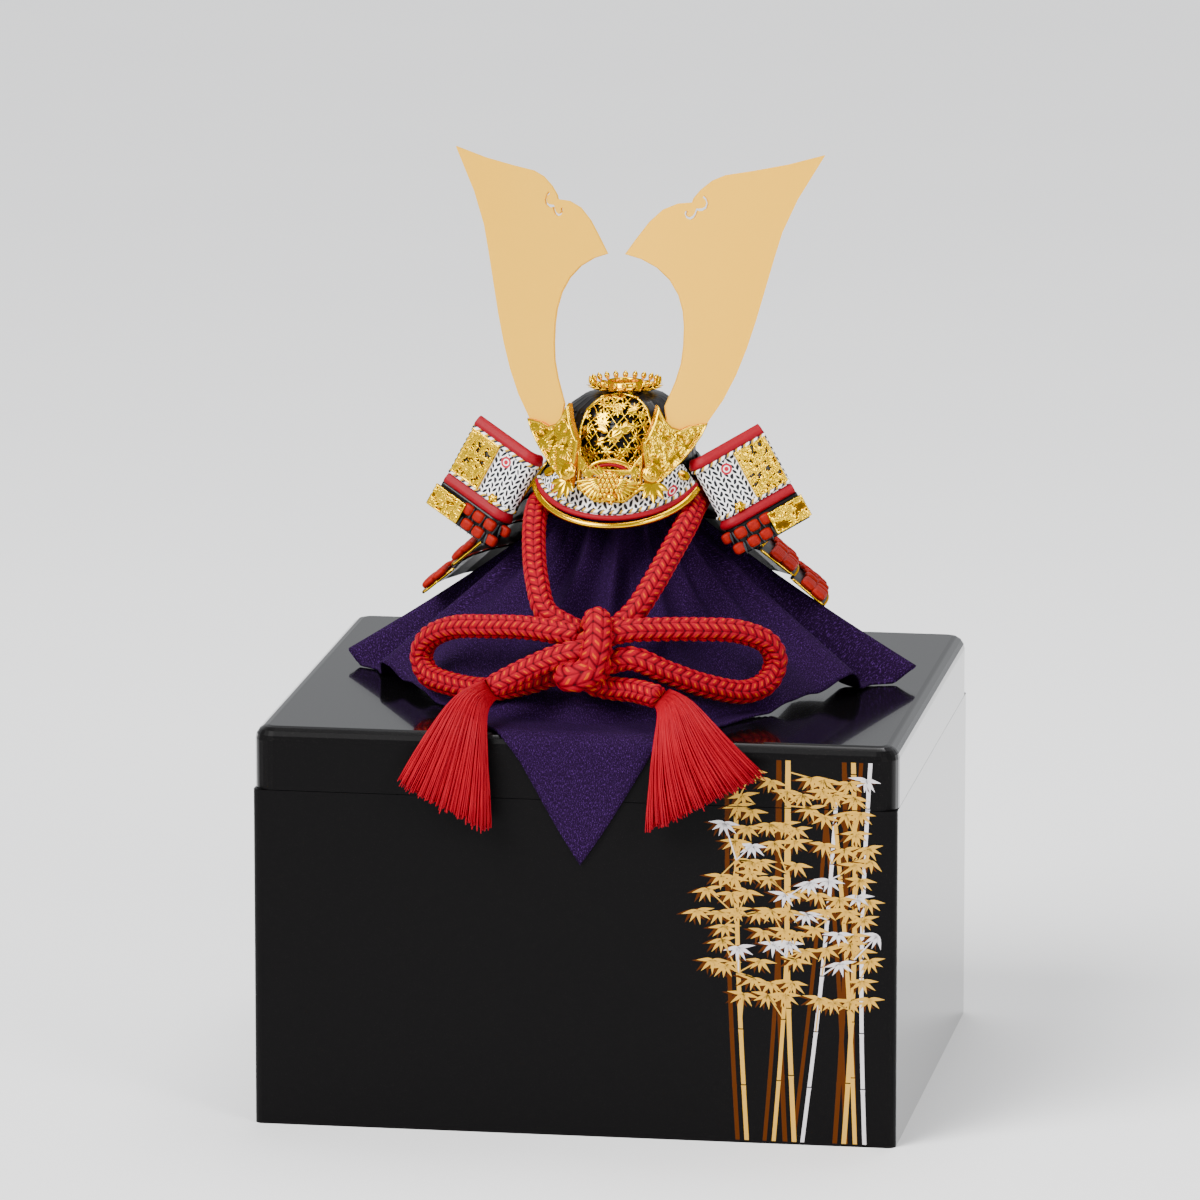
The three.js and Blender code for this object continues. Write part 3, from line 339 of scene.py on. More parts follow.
for row, z in enumerate(np.arange(80, painting_top, 9.0)):
    reach = 30 + 34 * math.exp(-(((z - 118) / 30) ** 2)) + 14 * math.exp(-(((z - 178) / 16) ** 2))
    for x in np.arange(158 - 5 * (row % 2), 158 - reach - 34, -9.5):
        at = np.array([x + pick.uniform(-2.5, 2.5), z + pick.uniform(-2.5, 2.5)])
        if pick.uniform() > 0.2 and at[1] < 204:
            sprays.append(at)
for number, at in enumerate(sprays):
    near = min(joints, key=lambda joint: math.hypot(joint[0] - at[0], joint[1] - at[1] + 6))
    run = at - near
    side = np.array([-run[1], run[0]]) / (np.linalg.norm(run) + 1e-6) * 0.35
    tone = 2 if pick.uniform() < 0.13 else 1
    height = 0.12 + number * 0.0006
    if np.linalg.norm(run) < 26:
        paint([tuple(near - side), tuple(near + side), tuple(at + side), tuple(at - side)], tone, height)
    main = -math.pi / 2 + pick.uniform(-0.25, 0.25)
    count = pick.integers(5, 7)
    for index, turn in enumerate(np.linspace(-1.5, 1.5, count)):
        length = pick.uniform(6.8, 8.2) * (1 + 0.12 * abs(turn))
        tip = at + np.array([math.cos(main + turn), math.sin(main + turn)]) * length
        if not (50 < tip[0] < 165 and 4 < tip[1] < painting_top):
            continue
        paint_leaf(at + (-2.6, -0.4), main + turn, length, 1.9, 0, height - 0.04)
        paint_leaf(at, main + turn, length, 2.1, tone, height + index * 0.00005)
add(build("bamboo_painting", paint_points, paint_faces, painted, paint_tones, False), "lacquer")

# Stand: a plain turned wooden post, hidden under the cloth.
turned_wood, spot, _ = material("turned_wood")
grain = spot.scaled(1, 1, 0.08).noise(160.0, 4.0)
finish_material(
    turned_wood,
    Base_Color=grain.mix((0.5, 0.33, 0.18, 1), (0.66, 0.49, 0.3, 1)),
    Roughness=0.55,
)
coat("stand_post", turned_wood)

# Cloth: a 37 cm square of purple crepe, laid cornerwise over the stand with its front corner hanging
# over the lid's edge. It is one thin sheet held only by its own weight and the helmet.
helmet_x = 4.0
lid_top = 213.3
cloth_wall = 1.2
cloth_level = lid_top + 0.7 + cloth_wall
cloth_head = 29.4
cloth_top = 356.8
skirt_top = 313.0
half_diagonal = 370 / math.sqrt(2)
forward = 49.0
side_corner = math.atan2(half_diagonal, forward)
edge_y = -143.0
edge_radius = 7.6 + cloth_wall
# turn (degrees), cut (0 front corner, 1 side corner, 2 back corner), foot (share of 150 mm), hollow, ease
cloth_rays = np.array(
    [
        (-180, -2, 0.86, 1.15, 0.92),
        (-154, -1.7, 0.72, 1.3, 1),
        (-129, -1.385, 0.94, 1.1, 1),
        (-112, -1.185, 0.72, 1.25, 0.95),
        (-97, -1, 1.1, 1.16, 0.83),
        (-90, -0.955, 0.79, 1.3, 0.84),
        (-78, -0.88, 0.95, 1.1, 0.81),
        (-67, -0.755, 0.83, 1.25, 0.88),
        (-56, -0.63, 0.83, 1.3, 0.92),
        (-42, -0.48, 0.72, 1.5, 0.98),
        (-25, -0.3, 0.81, 1.6, 1),
        (-16, -0.2, 0.79, 1.65, 1),
        (-11, -0.14, 0.78, 1.7, 1),
        (0, 0, 0.82, 1.5, 1),
        (12, 0.14, 0.77, 1.7, 1),
        (16, 0.2, 0.79, 1.65, 1),
        (25, 0.3, 0.84, 1.6, 1),
        (42, 0.48, 0.73, 1.5, 0.98),
        (56, 0.63, 0.82, 1.35, 0.92),
        (68, 0.755, 0.82, 1.25, 0.87),
        (79, 0.88, 0.96, 1.1, 0.8),
        (91, 0.955, 0.78, 1.3, 0.83),
        (96, 1, 1.12, 1.16, 0.83),
        (112, 1.185, 0.73, 1.25, 0.95),
        (130, 1.385, 0.93, 1.1, 1),
        (154, 1.7, 0.72, 1.3, 1),
        (180, 2, 0.86, 1.15, 0.92),
    ]
)
# bearing and half width, in degrees, of the folds that stand out under the visor
cloth_crests = ((-62, 6), (-44, 5), (-24, 7), (2, 8), (27, 7), (46, 5), (63, 6))


def hem_distance(cut):
    """Distance from the middle of the drape to the hem in the flat cloth."""
    share = np.abs(cut)
    front = share * side_corner
    back = side_corner + (share - 1) * (math.pi - side_corner)
    near = (half_diagonal + forward) / (np.cos(front) + np.sin(front))
    far = (half_diagonal - forward) / (np.sin(back) - np.cos(back) + 1e-9)
    return np.where(share < 1, near, far)


def cloth_surface(around, steps):
    """Places and flat coordinates of the cloth's upper face along evenly spread rays."""
    spread = np.interp(around, [0, 1], [0, len(cloth_rays) - 1])
    low = np.clip(spread.astype(int), 0, len(cloth_rays) - 2)
    share = spread - low
    eased = (share + share * share * (3 - 2 * share)) / 2
    table = cloth_rays[low] * (1 - eased)[:, None] + cloth_rays[low + 1] * eased[:, None]
    turn = np.radians(cloth_rays[low, 0] * (1 - share) + cloth_rays[low + 1, 0] * share)
    cut = cloth_rays[low, 1] * (1 - share) + cloth_rays[low + 1, 1] * share
    foot, hollow, ease = table[:, 2, None] * 150, table[:, 3, None], table[:, 4, None]
    hem = hem_distance(cut)[:, None]
    head_run = cloth_head + cloth_top - skirt_top
    head = np.array([0, 8, 16, 23, 27, *(cloth_head + step for step in (-1, 0, 1.5, 12, 28))])
    skirt = head_run + (hem - head_run) * steps[None]
    length = np.concatenate([np.repeat(head[None], len(around), 0), skirt], 1)
    flat = np.minimum(length, cloth_head)
    drop = np.clip(length - cloth_head, 0, cloth_top - skirt_top)
    run = np.maximum(length - head_run, 0) * ease
    fall = skirt_top - cloth_level
    slope = np.hypot(foot - cloth_head, fall) * (1 + 0.12 * (hollow - 1))
    down = np.minimum(run / slope, 1)
    radius = flat + (foot - cloth_head) * down**hollow + np.maximum(run - slope, 0)
    turns = turn[:, None]
    x = helmet_x + radius * np.sin(turns)
    y = -radius * np.cos(turns)
    z = cloth_top - drop - fall * down
    # small folds: fine pleats under the bowl that fade towards the hem, and slow waves at the hem
    pleat = np.sin(turns * 31 + 0.7 * np.sin(turns * 9)) * np.clip((length - 60) / 40, 0, 1)
    pleat *= (1 - down) * 1.6
    bearing = np.degrees(turns)
    crest = sum(np.exp(-(((bearing - at) / wide) ** 2)) for at, wide in cloth_crests)
    under_lip = np.clip((length - 48) / 26, 0, 1) * np.clip((0.95 - down) / 0.5, 0, 1)
    pleat += (np.clip(crest, 0, 1) * 8.5 - 6.2) * under_lip * (np.abs(bearing) < 75)
    wave = np.sin(turns * 17 + 1.3) * down**3 * np.clip(1.2 - down, 0, 1) * 1.4
    x += pleat * np.sin(turns)
    y -= pleat * np.cos(turns)
    z += np.where(length > 60, wave, 0)
    past = edge_y - y
    over = past > 0
    height = z - cloth_level
    bend = np.minimum(np.maximum(past, 0) / edge_radius, math.pi / 2)
    hang = np.maximum(past - edge_radius * math.pi / 2, 0)
    y = np.where(over, edge_y - (edge_radius + height) * np.sin(bend), y)
    z = np.where(over, lid_top - 7 + (edge_radius + height) * np.cos(bend) - hang, z)
    laid = np.stack([length * np.sin(turns), -length * np.cos(turns)], -1)
    return np.stack([x, y, z], -1), laid


def grid_faces(rows, columns, start=0, flip=False):
    """Quads between rows of corners that lie one row after another."""
    at = start + np.arange(rows * columns).reshape(rows, columns)
    quads = np.stack([at[:-1, :-1], at[:-1, 1:], at[1:, 1:], at[1:, :-1]], -1).reshape(-1, 4)
    return quads[:, ::-1] if flip else quads


def cloth_shell(points, wall, flats):
    """Both faces of a sheet and its hem, from the upper face's grid (rays by steps, closed round)."""
    along = np.roll(points, -1, 0)[:-1] - np.roll(points, 1, 0)[:-1]
    along[0] = points[1] - points[-2]
    along = np.concatenate([along, along[:1]])
    down = np.gradient(points, axis=1)
    normal = np.cross(down, along)
    normal /= np.linalg.norm(normal, axis=-1, keepdims=True) + 1e-9
    normal *= np.sign(normal[:, :1, 2:3] + 1e-9)
    normal[:, 0] = (0, 0, 1)
    under = points - normal * wall
    rays, steps = points.shape[:2]
    quads = [grid_faces(rays, steps), grid_faces(rays, steps, rays * steps, True)]
    rim = np.arange(rays - 1) * steps + steps - 1
    quads.append(np.stack([rim + steps, rim, rim + rays * steps, rim + steps + rays * steps], -1))
    both = np.concatenate([points.reshape(-1, 3), under.reshape(-1, 3)])
    return both, np.concatenate(quads), np.concatenate([flats.reshape(-1, 2)] * 2)


crepe, _, cloth_flat = material("purple_crepe")
crinkle = cloth_flat.scaled(1, 0.5, 1).noise(1300.0, 3.0, 0.6)
fibre = cloth_flat.scaled(0.5, 1, 1).noise(2300.0, 2.0)
fleck = (crinkle * 0.55 + fibre * 0.45).rise(0.50, 0.66)
finish_material(
    crepe,
    Base_Color=(fleck * 0.8).mix((0.0070, 0.0003, 0.014, 1), (0.070, 0.020, 0.15, 1)),
    Roughness=0.85,
    Specular_IOR_Level=0.08,
    height=crinkle * 0.00045 + fibre * 0.00022,
)
cloth_points, cloth_laid = cloth_surface(np.linspace(0, 1, 281), np.linspace(0, 1, 66)[1:])
shell, shell_faces, shell_flat = cloth_shell(cloth_points, cloth_wall, cloth_laid * MM)
cloth = add(build("cloth", shell, shell_faces, crepe, shell_flat), "crepe", "drape_cloth")

# Cords: round red silk braid of eight slanting columns, 12.5 mm thick, with painted shade in its grooves
# and a painted orange highlight near the crest of each stitch. The chin cord goes once round under the bowl;
# both bow loops and both tails leave the knot.
cord_diameter = 12.5


def spline(points, spacing):
    """Evenly spaced places along a smooth line through given points."""
    p = np.asarray(points, float)
    p = np.concatenate([[2 * p[0] - p[1]], p, [2 * p[-1] - p[-2]]])
    made = []
    for a, b, c, d in zip(p, p[1:], p[2:], p[3:]):
        k0, k1, k2 = (max(np.linalg.norm(v), 1e-6) ** 0.5 for v in (b - a, c - b, d - c))
        m1 = ((b - a) / k0 - (c - a) / (k0 + k1) + (c - b) / k1) * k1
        m2 = ((c - b) / k1 - (d - b) / (k1 + k2) + (d - c) / k2) * k1
        t = np.linspace(0, 1, 40, endpoint=False)[:, None]
        start, end = 2 * t**3 - 3 * t**2 + 1, 3 * t**2 - 2 * t**3
        made.append(start * b + (t**3 - 2 * t**2 + t) * m1 + end * c + (t**3 - t**2) * m2)
    line = np.concatenate(made + [p[-2:-1]])
    run = np.concatenate([[0], np.cumsum(np.linalg.norm(np.diff(line, axis=0), axis=1))])
    even = np.linspace(0, run[-1], max(int(run[-1] / spacing), 2) + 1)
    return np.stack([np.interp(even, run, line[:, axis]) for axis in range(3)], -1), even


def carried_frames(line, first):
    """Two directions square to the line at each place, carried along it without twisting."""
    along = np.gradient(line, axis=0)
    along /= np.linalg.norm(along, axis=1, keepdims=True)
    side = np.cross(along[0], np.cross(first, along[0]))
    sides = []
    for direction in along:
        side = side - direction * (side @ direction)
        side = side / np.linalg.norm(side)
        sides.append(side)
    sides = np.array(sides)
    return sides, np.cross(along, sides)


stitch_pitch = 5.1
braid_columns = 8


def braid_height(run, turn):
    """Height from 0 to 1 of the braid's face at a length in stitches and a turn in columns."""
    column = np.floor(turn)
    across = turn - column - 0.5
    hand = np.where(column % 2 == 0, 1, -1)
    phase = run + hand * across * 0.62
    ridge = np.abs(np.cos(np.pi * phase)) ** 0.6
    return ridge * (1 - (2 * np.abs(across)) ** 4 * 0.7)


def tube(name, line, radius, first, finish, run, turn, unit):
    """A tube round a line: its radius by place and turn, its flat coordinates by stitch and turn."""
    side, up = carried_frames(line, np.array(first, float))
    angle = (turn * 2 * np.pi)[None, :, None]
    outward = np.cos(angle) * side[:, None] + np.sin(angle) * up[:, None]
    points = line[:, None] + outward * radius[..., None]
    flat = np.stack(np.broadcast_arrays(run[:, None] / unit[0], turn[None] * unit[1]), -1).reshape(-1, 2)
    return build(name, points.reshape(-1, 3), grid_faces(len(line), len(turn)), finish, flat)


def braided(name, route, first=(0, 0, 1), diameter=cord_diameter):
    """A braided tube along a route; its ring middles come back as well."""
    line, run = spline(route, 0.55)
    turn = np.linspace(0, 1, 57)
    lift = braid_height(run[:, None] / stitch_pitch, turn[None] * braid_columns)
    radius = diameter / 2 * (0.87 + 0.17 * lift)
    end = np.clip(np.minimum(run, run[-1] - run)[:, None] / 2.5, 0, 1)
    radius = radius * np.sqrt(np.clip(1 - (1 - end) ** 2, 0.02, 1))
    made = tube(name, line, radius, first, silk, run, turn, (stitch_pitch, braid_columns))
    return made, line[:: max(len(line) // 60, 1)]


silk, _, braid_flat = material("red_silk_braid")
run_at, turn_at = braid_flat.part(0), braid_flat.part(1)
column_at = turn_at.maths("FLOOR", turn_at)
across_at = turn_at - column_at - 0.5
odd = column_at.maths("MODULO", column_at, 2.0)
phase_at = run_at + (1 - 2 * odd) * across_at * 0.62
off_ridge = phase_at - phase_at.maths("ROUND", phase_at)
# Painted shade: the red is darkened in the grooves between the stitches and between the columns.
groove_shade = abs(off_ridge).rise(0.3, 0.5) * 0.8 + abs(across_at).rise(0.36, 0.5) * 0.5
# Painted highlight: an orange patch near the crest of each stitch stands in for the silk's sheen.
stitch_highlight = (1 - abs(off_ridge - 0.04).rise(0.07, 0.12)) * (1 - abs(across_at).rise(0.16, 0.27))
red = groove_shade.mix((0.28, 0.0, 0.010, 1), (0.045, 0.0, 0.002, 1))
finish_material(
    silk,
    Base_Color=(stitch_highlight * 0.75).mix(red, (0.46, 0.07, 0.0, 1)),
    Roughness=0.55,
    Specular_IOR_Level=0.06,
    height=run_at.noise(60.0) * 0.0001,
)

chin_route = [
    (-3, -98, 258), (-13, -96, 262), (-23.5, -92, 267.5), (-30.4, -80, 281.8), (-35, -62, 297),
    (-37, -46, 308), (-37.5, -30, 313), (-37, -12, 314.4), (-34, 13, 314.4), (-20, 32, 314),
    (4, 39.8, 314), (28, 32, 314), (42, 13, 314.4), (45, -12, 314.4), (45, -30, 313), (43.9, -46, 308),
    (38.7, -62, 297), (31.3, -80, 282.2), (23.8, -91, 270), (16, -95, 262.5), (9, -98, 258),
]
loop_right_route = [
    (8, -112, 259.5), (21, -110, 262.8), (38.4, -102, 262.6), (58.1, -92, 261.2), (77.5, -80, 258),
    (91, -71, 250.4), (94.7, -68, 240.6), (91.1, -72, 230.5), (80.8, -84, 226.8), (61.8, -99, 232.6),
    (42.1, -108.8, 241.4), (25.4, -114.5, 249.2), (10, -114, 246.5),
]
loop_left_route = [
    (-2, -112, 259), (-12, -110.5, 260.5), (-30.5, -103, 261.3), (-53.5, -93, 259.3), (-76.4, -81, 255.3),
    (-90, -73, 247), (-94, -70, 237.5), (-90, -74, 229), (-75.7, -86, 226.3), (-52.4, -100, 227),
    (-29.6, -107, 233.2), (-12, -111, 240.4), (-3, -111, 243),
]
tail_right_route = [(4, -115, 236), (12, -115, 233.5), (28, -119, 233), (38, -126, 232.5), (43, -129.5, 232)]
tail_left_route = [
    (-2, -122, 253), (-12, -123.5, 251), (-26.9, -125, 244.5), (-41.8, -130, 237), (-47, -131.5, 234),
]
band_route = [
    (3, -107, 255), (4, -104.5, 262), (6.5, -111, 268), (8, -119, 266), (8.5, -125, 258), (7, -126.5, 250),
    (5, -124, 243), (3, -117, 240),
]
turn_route = [(8, -116, 247), (7, -124, 245), (1, -129, 242.5), (-5, -127.5, 241), (-7.5, -120, 243)]
core_route = [(-7, -108, 250), (3, -112, 253), (13, -108, 254)]


def laid_cord(name, nodes, route):
    """A length of the braid, in place of the given solids."""
    made, line = braided(name, route)
    add(made, "red_silk", *nodes)
    path = [tuple(point * MM) for point in line]
    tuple(path[0])


add(braided("bow_knot_band", band_route, (1, 0, 0), cord_diameter + 2.5)[0], "red_silk", "bow_knot")
add(braided("bow_knot_turn", turn_route, diameter=cord_diameter + 3.5)[0], "red_silk")
add(braided("bow_knot_core", core_route, diameter=20)[0], "red_silk")
laid_cord("chin_cord_braid", ["chin_cord"], chin_route)

# Tassels: fifteen hundred fine red silk threads each, tied at a cord's end, that fan out over the
# lid's front edge and hang in front of it.
thread_silk, _, thread_flat = material("red_silk_thread")
finish_material(
    thread_silk,
    Base_Color=thread_flat.noise(7.0, 1.0).mix((0.18, 0.0, 0.008, 1), (0.41, 0.004, 0.013, 1)),
    Roughness=0.42,
    Specular_IOR_Level=0.08,
)
# middle, half width and half thickness of each section down the tassel
tassel_right_rows = np.array(
    [
        [(44, -130, 232), (3.4, 2.6, 4.4), (0, -5.5, 1)],
        [(50, -139, 231), (5.8, 2, 5.0), (-1, -5.0, 4)],
        [(55.5, -153, 225.5), (11.4, 0, 8.0), (-2, -5.0, 4.5)],
        [(62, -161.5, 206), (20.5, 0, 12), (-2, -6.5, 2)],
        [(70.5, -162, 185.5), (30.5, 0, 16), (0, -7, 0)],
    ],
    float,
)
tassel_left_rows = np.array(
    [
        [(-46.5, -131, 234), (3.4, -2.6, -4.4), (0, -5.5, 1)],
        [(-53, -140, 231), (5.8, -2, -5.0), (1, -5.0, 4)],
        [(-56, -152.5, 224), (10.4, 0, -6.6), (2, -5.0, 4.5)],
        [(-60.5, -161.5, 203), (17.5, 0, -9.6), (2, -6.5, 2)],
        [(-65.5, -162, 179.5), (24, 0, -12.6), (0, -7, 0)],
    ],
    float,
)
thread_count = 1500
thread_steps = 11
thread_radius = 0.4
rng = np.random.default_rng(7)


def tassel(name, rows):
    """Threads that run through the tassel's sections, each at its own place in them."""
    at = np.linspace(0, len(rows) - 1, thread_steps)
    columns = [np.interp(at, np.arange(len(rows)), column) for column in rows.reshape(len(rows), -1).T]
    sections = np.stack(columns, -1).reshape(thread_steps, 3, 3)
    for _ in range(3):
        sections[1:-1] = (sections[:-2] + 2 * sections[1:-1] + sections[2:]) / 4
    angle = rng.uniform(0, 2 * np.pi, thread_count)
    spread = np.sqrt(rng.uniform(0.25, 1, thread_count))
    across, deep = np.cos(angle) * spread, np.sin(angle) * spread
    ends = rng.normal(1, 0.025, thread_count)
    points, faces, flats = [], [], []
    share = np.linspace(0, 1, thread_steps)
    tri = np.radians([90, 210, 330])
    ring = np.stack([np.cos(tri), np.sin(tri) * 0.7, np.sin(tri) * -0.7], -1) * thread_radius
    for index in range(thread_count):
        wander = np.cumsum(rng.normal(0, 0.10, (thread_steps, 3)), 0) * share[:, None]
        line = sections[:, 0] + across[index] * sections[:, 1] + deep[index] * sections[:, 2] + wander
        line = line[0] + (line - line[0]) * ends[index]
        points.append((line[:, None] + ring[None]).reshape(-1, 3))
        start = index * thread_steps * 3
        for step in range(thread_steps - 1):
            a = start + step * 3
            faces.extend([(a + k, a + (k + 1) % 3, a + 3 + (k + 1) % 3, a + 3 + k) for k in range(3)])
        tone = np.full((thread_steps * 3, 2), index * 0.37)
        tone[:, 1] = np.repeat(share, 3)
        flats.append(tone)
    made = build(name, np.concatenate(points), faces, thread_silk, np.concatenate(flats))
    return add(made, "red_silk", name)


tassel_left = tassel("tassel_left", tassel_left_rows)
tassel_right = tassel("tassel_right", tassel_right_rows)
# Each loop comes back through the knot and leaves it on the other side as a tail.
left_route, right_route = loop_left_route + tail_right_route, loop_right_route + tail_left_route
laid_cord("bow_left_braid", ["bow_loop_left", "cord_tail_right"], left_route)
laid_cord("bow_right_braid", ["bow_loop_right", "cord_tail_left"], right_route)

# Bowl: black lacquered iron, made of ribbed plates with rows of small rivets, open at the crown.
rim_level = 325.0
bowl_height = 46.0
bowl_radius = 38.0
bowl_wall = 1.6
bowl_ribs = 30
# share of the widest radius, share of the height
bowl_rows = [(0.98, 0), (1, 0.18), (0.985, 0.4), (0.915, 0.62), (0.77, 0.82), (0.56, 0.94), (0.204, 1)]
bowl_rows = np.array(bowl_rows)


def bowl_profile(height):
    return bowl_radius * np.interp(height, bowl_rows[:, 1], bowl_rows[:, 0])


iron, spot, _ = material("black_iron")
finish_material(
    iron,
    Base_Color=spot.noise(90.0).mix((0.003, 0.003, 0.004, 1), (0.008, 0.007, 0.008, 1)),
    Roughness=0.3 + spot.noise(400.0) * 0.1,
    Specular_IOR_Level=0.12,
    Coat_Weight=0.12,
    Coat_Roughness=0.1,
)
turn = np.linspace(0, 2 * np.pi, bowl_ribs * 8 + 1)
levels = np.linspace(0, 1, 34)
rib = np.abs(np.sin(turn * bowl_ribs / 2)) ** 0.25
outer = bowl_profile(levels)[:, None] * (1 - 0.016 * rib[None])
bowl_shell = np.stack(
    [
        helmet_x + outer * np.sin(turn),
        -outer * np.cos(turn),
        np.broadcast_to((rim_level + bowl_height * levels)[:, None], outer.shape),
    ],
    -1,
)
middle = np.array([helmet_x, 0, rim_level])
under_shell = middle + (bowl_shell - middle) * (1 - bowl_wall / bowl_radius)
bowl_points = np.concatenate([bowl_shell.reshape(-1, 3), under_shell.reshape(-1, 3)])
rows, columns = outer.shape
rim_low = np.arange(columns - 1)
rim_high = rim_low + (rows - 1) * columns
both = rows * columns
bowl_faces = np.concatenate(
    [
        grid_faces(rows, columns),
        grid_faces(rows, columns, both, True),
        np.stack([rim_low + 1, rim_low, rim_low + both, rim_low + 1 + both], -1),
        np.stack([rim_high, rim_high + 1, rim_high + 1 + both, rim_high + both], -1),
    ]
)
add(build("bowl", bowl_points, bowl_faces, iron), "black_iron", "helmet_bowl")


def crest_flat(height):
    """Flat coordinates that keep a relief's height for its finish, which paints shade in the low places."""
    return np.stack([height, np.zeros_like(height)], -1)


def blades(name, rows, finish, steps=9, around=8, fullness=0.8, carry=None):
    """Closed pointed blades: each row gives foot, tip, face direction, width and thickness."""
    points, faces = [], []
    share = np.linspace(0, 1, steps)
    turn = np.linspace(0, 2 * np.pi, around, endpoint=False)
    swell = np.sin(np.pi * np.clip(share, 0.03, 0.985) ** fullness)
    for foot, tip, face, width, thick in rows:
        foot, tip, face = (np.asarray(part, float) for part in (foot, tip, face))
        along = (tip - foot) / np.linalg.norm(tip - foot)
        face = face - along * (face @ along)
        face /= np.linalg.norm(face)
        side = np.cross(along, face)
        ring = np.cos(turn)[:, None] * side * width / 2 + np.sin(turn)[:, None] * face * thick / 2
        line = foot + (tip - foot) * share[:, None]
        start = len(points) * steps * around
        points.append((line[:, None] + ring[None] * swell[:, None, None]).reshape(-1, 3))
        at = start + np.arange(steps * around).reshape(steps, around)
        wrap = np.roll(at, -1, 1)
        faces.append(np.stack([at[:-1], wrap[:-1], wrap[1:], at[1:]], -1).reshape(-1, 4))
    # Painted shade: the flat coordinate is low on each blade's sides and near its foot, so the chased finish
    # darkens them there.
    edge = np.clip(0.15 + 1.1 * np.abs(np.sin(turn))[None] * np.clip(share * 5, 0.3, 1)[:, None], 0, 1)
    flat = np.tile(crest_flat(edge).reshape(-1, 2), (len(points), 1))
    points = np.concatenate(points)
    return build(name, carry(points) if carry else points, np.concatenate(faces), finish, flat)


rivets = []
for index in range(bowl_ribs):
    bearing = (index + 0.5) / bowl_ribs * 2 * np.pi
    for level in (0.2, 0.36, 0.52, 0.67, 0.79):
        radius = bowl_profile(level) * 0.984
        out = np.array([radius * np.sin(bearing), -radius * np.cos(bearing), bowl_height * level])
        seat_at = middle + out
        out /= np.linalg.norm(out)
        side = np.cross(out, (0, 0, 1))
        side *= 0.9 / np.linalg.norm(side)
        rivets.append((seat_at - side, seat_at + side, out, 1.8, 1.9))
add(blades("bowl_rivets", rivets, iron, 7, 8), "black_iron")

# Crown ring: cast gilt petals that lie outwards, upright drops between them and a raised lip, over
# the hole in the crown. All gilt parts share two finishes: polished, and chased with painted shade in its
# hollows.
crown_level = rim_level + bowl_height + 0.3
crown_points = 44


def gilt_finish(name, base, hollow, roughness, chased):
    """Gilt metal; chased pieces keep how high each place lies, from 0 to 1, in their flat coordinates, and
    their low places take the hollow colour as painted shade, while other pieces take it at random as wear.
    """
    made, spot, flat = material(name)
    wear = spot.noise(700.0, 3.0)
    # For chased pieces the hollow colour is painted shade in the relief's low places; for the others it is
    # uneven wear.
    crest = flat.part(0).rise(0.05, 0.62) if chased else wear.rise(0.2, 0.55)
    return finish_material(
        made,
        Base_Color=crest.mix(hollow, base),
        Roughness=roughness + wear * 0.08,
        Metallic=1.0,
        Specular_Tint=(0.9, 0.6, 0.1, 1),
        height=wear * 0.00003,
    )


bright_gilt = gilt_finish("bright_gilt", (0.78, 0.46, 0.0, 1), (0.64, 0.35, 0.0, 1), 0.15, False)
# Chased gilt: its dark brown hollow colour is painted shade in the relief's low places.
chased_gilt_painted_shade = gilt_finish("chased_gilt_painted_shade", (0.80, 0.49, 0.0, 1), (0.22, 0.10, 0.0, 1), 0.17, True)
petals, drops = [], []
base = np.array([helmet_x, 0, crown_level])
for index in range(crown_points):
    bearing = index / crown_points * 2 * np.pi
    out = np.array([np.sin(bearing), -np.cos(bearing), 0])
    if index % 2:
        foot, tip = base + out * 16.6 + (0, 0, 1.2), base + out * 19.2 + (0, 0, 6.4)
        drops.append((foot, tip, out - (0, 0, 0.4), 3.2, 2.9))
    else:
        foot, tip = base + out * 11 + (0, 0, 0.8), base + out * 20.8 + (0, 0, 1.9)
        petals.append((foot, tip, (0, 0, 1), 3.6, 1.8))
add(blades("crown_petals", petals, chased_gilt_painted_shade, 10, 8), "bright_gilt", "crown_ring")
add(blades("crown_drops", drops, chased_gilt_painted_shade, 12, 10, 1.35), "bright_gilt")
# radius and height
lip_profile = [
    (7.7, 0), (12, 0), (12, 1), (10.6, 1.5), (9.9, 2.4), (9.7, 3.4), (9.2, 4.3), (8.5, 4.6), (7.9, 4.3),
    (7.7, 3.6), (7.7, 0),
]


def turned_piece(name, profile, finish, carry, segments=32, ripple=None):
    """A turned piece from radius and height pairs, facing out of its own -Y axis."""
    profile = np.array(profile, float)
    turn = np.linspace(0, 2 * np.pi, segments, endpoint=False)
    radius = profile[:, :1] * (1 + (ripple(turn) if ripple else 0 * turn))
    height = np.broadcast_to(-profile[:, 1:], radius.shape)
    ring = np.stack([radius * np.cos(turn), height, radius * np.sin(turn)], -1)
    at = np.arange(ring.shape[0] * segments).reshape(-1, segments)
    wrap = np.roll(at, -1, 1)
    faces = np.stack([at[:-1], at[1:], wrap[1:], wrap[:-1]], -1).reshape(-1, 4)
    return build(name, carry(ring.reshape(-1, 3)), faces, finish)


def upright(points):
    points = np.asarray(points, float)
    return np.stack([points[:, 0] + helmet_x, points[:, 2], crown_level - points[:, 1]], -1)


add(turned_piece("crown_lip", lip_profile, bright_gilt, upright, 60), "bright_gilt")

# Front plate: an egg-shaped gilt plate bent round the bowl, cut through between bamboo leaves and a
# small bird.
plate_width, plate_height, plate_wall, plate_foot = 42.0, 47.0, 0.9, 0.18
bowl_line = np.stack([bowl_profile(np.linspace(0, 1, 200)), np.linspace(0, bowl_height, 200)], -1)
bowl_run = np.concatenate([[0], np.cumsum(np.hypot(*np.diff(bowl_line, axis=0).T))])
bowl_out = np.gradient(bowl_line, axis=0)[:, ::-1] * (1, -1)
bowl_out /= np.linalg.norm(bowl_out, axis=1, keepdims=True)


